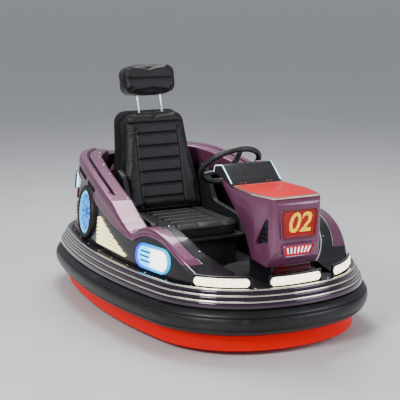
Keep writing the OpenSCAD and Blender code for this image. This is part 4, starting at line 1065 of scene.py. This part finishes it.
def side_wall(y, side):
    """Local Y and Z of an outline become X and Z, on the wall at y facing outwards on that side."""
    return Matrix(((0, 1, 0, 0), (side, 0, 0, side * y), (0, 0, 1, 0), (0, 0, 0, 1)))

vent_outline = rounded([(nose_x1 - 0.137, HOOD_Z - 0.2155, 0.005), (nose_x1 - 0.0455, HOOD_Z - 0.1855, 0.007),
                        (nose_x1 - 0.0455, HOOD_Z - 0.068, 0.010)])
LOUVRE = bar_piece("vent_louvre", (0.006, 0.050, 0.004), 0.001)
louvres = []
for side, word in SIDES:
    pressed(f"vent_back_{word}", vent_outline, [(0.0003, -0.012), (0.0003, 0.0008), (0.002, 0.0012)],
            side_wall(NOSE_HALF - 0.010, side), "black_gloss")
    for k in range(5):
        place = Vector((nose_x1 - 0.071 + 0.0035 * k, side * (NOSE_HALF - 0.011), HOOD_Z - 0.186 + 0.020 * k))
        louvres.append((turned(facing(place, Vector((0, side, 0))), 25, "Y"), Vector((1, 1.0 - 0.16 * k, 1))))
repeated("vent_louvres", LOUVRE, louvres, "black_gloss")

# %% Lit mouth in the nose: red tray, white fins and a rolled lip
mouth_seat = turned(Matrix.Translation((nose_x1 - 0.0030, 0, HOOD_Z - 0.2205)), 17, "Y")
mouth = both_ways([(0.062, -0.026, 0.014), (0.074, 0.022, 0.008)], 5)
pressed("mouth_tray", mouth, [(0.0, -0.010), (0.0, 0.0012), (0.001, 0.0018)], mouth_seat, "display_red",
        finish="dot_red")
lip = [(-0.0065, -0.006), (-0.0065, 0.004), (-0.0045, 0.0072), (-0.001, 0.0078), (0.0015, 0.005), (0.0015, -0.006)]
pressed("mouth_lip", mouth, lip, mouth_seat, "plum_paint", solid=False)
MOUTH_FIN = bar_piece("mouth_fin", (0.0046, 0.0045, 0.030), 0.0012)
fins = [(turned(moved(mouth_seat, 0.001, y * 0.017, -0.001), -6 * y), ONE) for y in range(-3, 4)]
repeated("mouth_fins", MOUTH_FIN, fins, "display_red", finish="lamp_cool")

# %% Dash: moulded ribs, button, red dots that paint glints, and glowing cords that paint the edge highlights
dash_low, dash_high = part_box("dashboard")
DASH_END, DASH_TOP = Vector((dash_high.x - 0.002, HOOD_Z + 0.002)), Vector((dash_high.x - 0.090, dash_high.z))
slope = (DASH_END - DASH_TOP).normalized()
along_slope, out_of_dash = Vector((slope.x, 0, slope.y)), Vector((-slope.y, 0, slope.x))
middle = (DASH_TOP + DASH_END) / 2

def on_dash(y, out, along=0.0, up=UP):
    """Seat on the sloping face: y across, out above the face and along down the slope from its middle."""
    foot = Vector((middle.x, y, middle.y)) + out_of_dash * out + along_slope * along
    return facing(foot, out_of_dash, up)

DASH_RIB = bar_piece("dash_rib", (0.0035, 0.0050, (DASH_END - DASH_TOP).length - 0.040), 0.0015)
ribs = [(on_dash(y * 0.0155, -0.001, 0.0, along_slope), ONE) for y in range(-6, 7)]
repeated("dash_ribs", DASH_RIB, ribs, "black_matte")

def cord(name, path, radius, slot, up=Vector((0.02, 1.0, 0.03)), looped=False, finish=None):
    """A round cord along a path of points, joined to a loop or closed at both ends."""
    last, rows = len(path) - 1, []
    for i, p in enumerate(path):
        before, after = (i - 1, (i + 1) % len(path)) if looped else (max(i - 1, 0), min(i + 1, last))
        m = facing(p, path[after] - path[before], up)
        rows.append([m @ Vector((0, radius * math.cos(t), radius * math.sin(t))) for t in turns_of(8)])
    return new_object(name, grid_mesh(name, rows, looped), slot, finish=finish, smooth=60.0)

dash_edge = rounded([(dash_low.x + 0.004, HOOD_Z + 0.036, 0), (dash_low.x + 0.013, dash_high.z - 0.011, 0.010),
                     (DASH_TOP.x, DASH_TOP.y - 0.0010, 0.020), (DASH_END.x - 0.004, DASH_END.y + 0.006, 0)], 6)
# The glowing cords along both edges of the dash are painted highlight: they emit the bright line that the edge
# catches.
for side, word in SIDES:
    path = [Vector((p.x, side * (dash_high.y - 0.0018), p.y)) for p in dash_edge]
    cord(f"dash_light_{word}", path, 0.0026, "bezel_bright", finish="lamp_cool")
button_seat = facing(Vector((dash_low.x + 0.030, 0.085, dash_high.z - 0.008)), Vector((-0.15, 0, 1)),
                     Vector((1, 0, 0.15)))
rim_profile = [(0.010, -0.002), (0.015, -0.002), (0.015, 0.004), (0.0135, 0.0055), (0.010, 0.005)]
cap_profile = [(0, -0.002), (0.0096, -0.002), (0.0096, 0.0045), (0.006, 0.0062), (0, 0.0066)]
lathe("start_button_rim", rim_profile, button_seat, "machined", 32)
lathe("start_button", cap_profile, button_seat, "lamp_amber", 32)
# These red dots glow to paint the small red glints on the dash: painted highlight.
painted_glints = [(on_dash(y, 0.0018, 0.052), ONE * 2.2) for y in (-0.075, -0.055, 0.055, 0.075)]
repeated("warning_dots", DIODE, painted_glints, "display_red", finish="dot_red")

# %% Haunch gills: dark slots with fins on the outer side of each fairing
GILL_FIN = bar_piece("gill_fin", (0.0040, 0.0032, 0.0200), 0.0008)
GILL_SECTION = [(0.0, -0.012), (0.0, 0.0008), (0.0015, 0.0016), (0.0035, -0.0002)]
GILL_PITCH = 0.012
gill_fins = []
for side, word in SIDES:
    for k, (share, length) in enumerate(((-0.50, 0.170), (-0.30, 0.120))):
        x = share * HALF
        z = (low_edge(x) + top_line(x)) / 2 - 0.002
        fall = math.degrees(math.atan2(top_line(x - 0.05) - top_line(x + 0.05), 0.10))
        seat = turned(side_seat(share, z, side, OUT), fall)
        pressed(f"gill_{word}_{k}", slab(length, 0.024, 0.0115, 6), GILL_SECTION, seat, "black_gloss")
        fins = int(length / 2 / GILL_PITCH)
        gill_fins += [(moved(seat, -0.002, y * GILL_PITCH, 0), ONE) for y in range(1 - fins, fins)]
repeated("gill_fins", GILL_FIN, gill_fins, "black_matte")

# %% [markdown]
# ## Padded seat pieces
# Cushion, back and headrest are foam under vinyl. Each starts from the frame's solid, slightly smaller, is
# remeshed evenly and blown up a little by the cloth solver, with the movement capped so it keeps its place.
# The sewn channels are pressed in afterwards, because the even mesh would lose anything so narrow.

# %% Padding
VOXEL, PRESSURE, CLOTH_STEPS = 0.006, 4.0, 20

def blown_up(obj):
    """Runs the cloth solver with pressure inside and no gravity, and keeps the shape of its last step."""
    scene = bpy.context.scene
    cloth = obj.modifiers.new("cloth", "CLOTH")
    cloth.settings.use_pressure = True
    cloth.settings.uniform_pressure_force = PRESSURE
    cloth.settings.effector_weights.gravity = 0.0
    cloth.settings.quality = 4
    cloth.point_cache.frame_start, cloth.point_cache.frame_end = 1, CLOTH_STEPS
    for step in range(1, CLOTH_STEPS + 1):
        scene.frame_set(step)
    settled(obj)
    scene.frame_set(1)

def padding(node, name, cap, shrink):
    """A pad from the frame's solid. cap is the most that a point moves when it is blown up."""
    bm = merged(node)
    low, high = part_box(node)
    middle = (low + high) / 2
    for v in bm.verts:
        v.co = middle + (v.co - middle) * shrink
    obj = new_object(name, worked(bm, bpy.data.meshes.new(name)), "seat_leather")
    remesh = obj.modifiers.new("even", "REMESH")
    remesh.mode, remesh.voxel_size = "VOXEL", VOXEL
    rest = [v.co.copy() for v in settled(obj).vertices]
    blown_up(obj)
    for v, start in zip(obj.data.vertices, rest):
        move = v.co - start
        if move.length > cap:
            v.co = start + move * (cap / move.length)
    divide = obj.modifiers.new("round", "SUBSURF")
    divide.levels = divide.render_levels = 1
    mesh = settled(obj)
    mesh.shade_smooth()
    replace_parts(obj, node)
    print(name, len(mesh.vertices), "points")
    return obj

SEAM_DEPTH, SEAM_WIDTH = 0.007, 0.006

def press_seams(obj, place, seams):
    """Presses sewn channels in. Each seam is a function that gives a local point's distance to it."""
    back = place.inverted()
    mesh = obj.data
    away = [min(seam(back @ v.co) for seam in seams) for v in mesh.vertices]
    pushes = [v.normal * SEAM_DEPTH * math.exp(-(d / SEAM_WIDTH) ** 2) for v, d in zip(mesh.vertices, away)]
    for v, push, d in zip(mesh.vertices, pushes, away):
        if d < 3 * SEAM_WIDTH:
            v.co = v.co - push
    mesh.update()

def seam_across(axis, value, half, face, top):
    """A seam across the pad at value along axis. Only the side of the pad beyond top along face counts."""
    return lambda p: math.hypot(p[axis] - value, max(0.0, abs(p.y) - half)) if p[face] > top else 1.0

def seams_along(y, axis, start, end, face, top):
    """The pair of lengthwise seams at plus and minus y."""
    return lambda p: math.hypot(abs(p.y) - y, max(0.0, start - p[axis], p[axis] - end)) if p[face] > top else 1.0

# %% Cushion, back and headrest
low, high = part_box("seat_cushion")
CUSHION_TOP = high.z
cushion = padding("seat_cushion", "cushion_pad", 0.012, 0.985)
seams = [seams_along(0.125, 0, low.x + 0.02, high.x - 0.05, 2, CUSHION_TOP - 0.03)]
seams += [seam_across(0, low.x + 0.05 + 0.068 * k, 0.120, 2, CUSHION_TOP - 0.03) for k in range(5)]
press_seams(cushion, Matrix.Identity(4), seams)

BACK = turned(Matrix.Translation((low.x + 0.002, 0, 0.370)), -13.5, "Y")
back = padding("seat_back", "back_pad", 0.012, 0.985)
seams = [seams_along(0.118, 2, 0.03, 0.42, 0, -0.04), seam_across(2, 0.45, 0.150, 0, -0.04)]
seams += [seam_across(2, 0.07 + 0.065 * k, 0.113, 0, -0.04) for k in range(6)]
press_seams(back, BACK, seams)
rest_pad = padding("headrest", "headrest_pad", 0.008, 0.98)
press_seams(rest_pad, BACK, [seam_across(2, 0.678, 0.115, 0, -0.04)])

# %% [markdown]
# Piping covers the seam round the cushion and the back: a thin cord sewn into the edge. It is a tube along the
# outline, and a row of stitches runs beside the cushion's lengthwise seams.

# %% Piping and stitches
PIPING_R, PIPING_LIFT = 0.0032, 0.0012

def onto_pad(pad, path):
    """Moves a loop of points to the pad's skin as it came out of the simulation, and evens it out."""
    skin = face_tree(pad.data)
    found = [skin.find_nearest(p) for p in path]
    loop = [hit[0] + hit[1] * PIPING_LIFT for hit in found]
    for _ in range(3):
        loop = [(loop[i - 1] + p * 2 + loop[(i + 1) % len(loop)]) / 4 for i, p in enumerate(loop)]
    return loop

def fine(outline, step=0.01):
    """The outline with points at most about a step apart."""
    out = []
    for i, p in enumerate(outline):
        q = outline[(i + 1) % len(outline)]
        count = max(1, round((q - p).length / step))
        out += [p + (q - p) * k / count for k in range(count)]
    return out

def piping(name, pad, path):
    cord(name, onto_pad(pad, path), PIPING_R, "seat_leather", Vector((0.02, 0.03, 1)), looped=True)

cw, bw = (high.y - low.y) / 2, 0.440 / 2 - 0.004
cushion_outline = fine(front_to_back([(low.x, cw, 0.030), (high.x, cw, 0.070)], 6))
piping("cushion_piping", cushion, [Vector((p.x, p.y, CUSHION_TOP - 0.006)) for p in cushion_outline])
back_outline = fine(both_ways([(bw, 0, 0.024), (bw, 0.150, 0.060), (bw - 0.034, 0.330, 0.080),
                               (bw - 0.052, 0.515, 0.060)], 6))
piping("back_piping", back, [BACK @ Vector((-0.004, p.x * 0.99, p.y)) for p in back_outline])

STITCH = bar_piece("stitch", (0.0012, 0.0012, 0.0050), 0.0004)
stitched = [low.x + 0.03 + 0.008 * k for k in range(45)]
stitches = [(facing(Vector((x, y, CUSHION_TOP - 0.001)), UP, AHEAD), ONE)
            for y in (-0.131, 0.131) for x in stitched if x < high.x - 0.06]
repeated("seat_stitches", STITCH, stitches, "seat_leather", finish="thread", loose=0.05, seed=7)

# %% [markdown]
# ## Steering wheel and tyres
# Both are turned shapes. The wheel has a soft round rim with finger grooves, three spokes and a domed hub, on a
# plain turned shaft. The tyres get a tread of small blocks in staggered rows.

# %% Steering wheel
WHEEL = turned(Matrix.Translation((0.270, 0, 0.700)), -40, "Y")
UP_X = Matrix.Rotation(math.radians(-90), 4, "Y")
RIM_R, RIM_T, GROOVES = 0.150, 0.013, 24
rows = []
for t in turns_of(144):
    thick = RIM_T * (1 - 0.06 * max(0.0, math.cos(GROOVES * t)) ** 3)
    ring = [(RIM_R - RIM_T + thick * math.cos(a), thick * math.sin(a)) for a in turns_of(20)]
    rows.append([WHEEL @ Vector((reach * math.cos(t), reach * math.sin(t), height)) for reach, height in ring])
rim = new_object("wheel_rim", grid_mesh("wheel_rim", rows), "wheel_grip", "steering", smooth=60.0)
hub_profile = [(0, -0.034), (0.030, -0.034), (0.044, -0.030), (0.0458, -0.014), (0.042, -0.0105), (0.034, -0.0085),
               (0.030, -0.0105), (0.026, -0.0090), (0.016, -0.0082), (0, -0.0080)]
hub = lathe("wheel_hub", hub_profile, WHEEL @ UP_X, "wheel_grip", 48, body="steering")
for piece in (rim, hub):
    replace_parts(piece, "steering_wheel")
to_wheel = WHEEL.inverted()
ends = [(to_wheel @ v.co).z for v in NODES["steering_shaft"].data.vertices]
low, high, r = min(ends), max(ends), 0.0106
shaft_profile = [(0, low), (r - 0.001, low), (r, low + 0.001), (r, high - 0.001), (r - 0.001, high), (0, high)]
shaft = lathe("shaft_turned", shaft_profile, WHEEL @ UP_X, "machined", 64, body="steering")
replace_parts(shaft, "steering_shaft")
spoke_outline = front_to_back([(0.026, 0.019, 0.002), (0.128, 0.011, 0.002)], 3)
for k in range(3):
    place = turned(turned(WHEEL, 120 * k, "Z"), -8, "Y") @ UPWARD
    spoke = pressed(f"wheel_spoke_{k + 1}", spoke_outline, [(0, -0.020), (0, -0.0135), (0.002, -0.0115)], place,
                    "machined", body="steering")
    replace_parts(spoke, "steering_wheel")

# %% Tyres
TREAD = bar_piece("tread_block", (0.0030, 0.011, 0.009), 0.0008)
HUB_R, TREAD_H, TREAD_COUNT = 0.0623, 0.003, 36

def tyre(node, name, body):
    low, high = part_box(node)
    centre, half = (low + high) / 2, (high.y - low.y) / 2
    base = (high.z - low.z) / 2 - TREAD_H
    profile = [(HUB_R, -half), (base - 0.016, -half), (base - 0.010, -half + 0.0015), (base - 0.003, -half + 0.006),
               (base, -half + 0.011)]
    profile += [(r, -x) for r, x in profile[::-1]]
    across = turned(Matrix.Translation(centre), 90, "Z")
    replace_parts(lathe(name, profile, across, "tyre_black", 72, body=body), node)
    places = []
    for row in (-1, 0, 1):
        for k in range(TREAD_COUNT):
            t = 2 * math.pi * (k + (0.5 if row else 0)) / TREAD_COUNT
            out = Vector((math.cos(t), 0, math.sin(t)))
            p = centre + out * (base - 0.0002) + Vector((0, row * (half - 0.015), 0))
            places.append((facing(p, out, Vector((0, 1, 0))), ONE))
    repeated(name + "_tread", TREAD, places, "tyre_black", body)

for node, name, body in (("drive_tyre", "drive_tyre_carcass", "drive_wheel"),
                         ("rear_tyre_left", "left_tyre_carcass", "rear_wheel_left"),
                         ("rear_tyre_right", "right_tyre_carcass", "rear_wheel_right")):
    tyre(node, name, body)

# %% [markdown]
# ## Light, floor and camera
# A pale floor and soft lights. The camera stands where the photograph was taken from, ahead of the car and to
# its right at eye height, turned to the car and with a long lens.

# %% Stage
def staged(name, data, place=(0, 0, 0)):
    obj = bpy.data.objects.new(name, data)
    obj.location = place
    bpy.context.scene.collection.objects.link(obj)
    return obj

def looking(obj, aim):
    obj.rotation_euler = (Vector(aim) - obj.location).to_track_quat("-Z", "Y").to_euler()

FLOOR = 200.0
floor_mesh = bpy.data.meshes.new("floor")
floor_corners = [(x * FLOOR, y * FLOOR, 0) for x, y in ((-1, -1), (1, -1), (1, 1), (-1, 1))]
floor_mesh.from_pydata(floor_corners, [], [(0, 1, 2, 3)])
pale = Finish("pale_floor", (0.60, 0.60, 0.61), 0.42, vary=0.03, scale=2.0, grain=0.05)
floor_mesh.materials.append(pale.material)
floor = staged("floor", floor_mesh)

world = bpy.data.worlds.new("studio")
bpy.context.scene.world = world
world.use_nodes = True
sky = world.node_tree.nodes["Background"].inputs
sky["Color"].default_value, sky["Strength"].default_value = (0.82, 0.86, 0.94, 1.0), 0.45

def soft_light(name, place, size, power, colour):
    data = bpy.data.lights.new(name, "AREA")
    data.shape, data.size, data.energy, data.color = "DISK", size, power, colour
    looking(staged(name, data, place), (0, 0, 0.4))

soft_light("key", (2.6, -4.0, 3.2), 1.6, 270, (1.0, 0.97, 0.93))
soft_light("fill", (3.8, 3.0, 2.2), 2.6, 120, (0.90, 0.94, 1.0))
soft_light("top", (-1.4, 0.4, 4.0), 2.6, 190, (1.0, 1.0, 1.0))

camera_data = bpy.data.cameras.new("camera")
camera_data.lens, camera_data.sensor_width = 98.0, 36.0
camera = staged("camera", camera_data, (4.49, -2.38, 1.50))
looking(camera, (-0.02, 0.0, 0.49))
bpy.context.scene.camera = camera
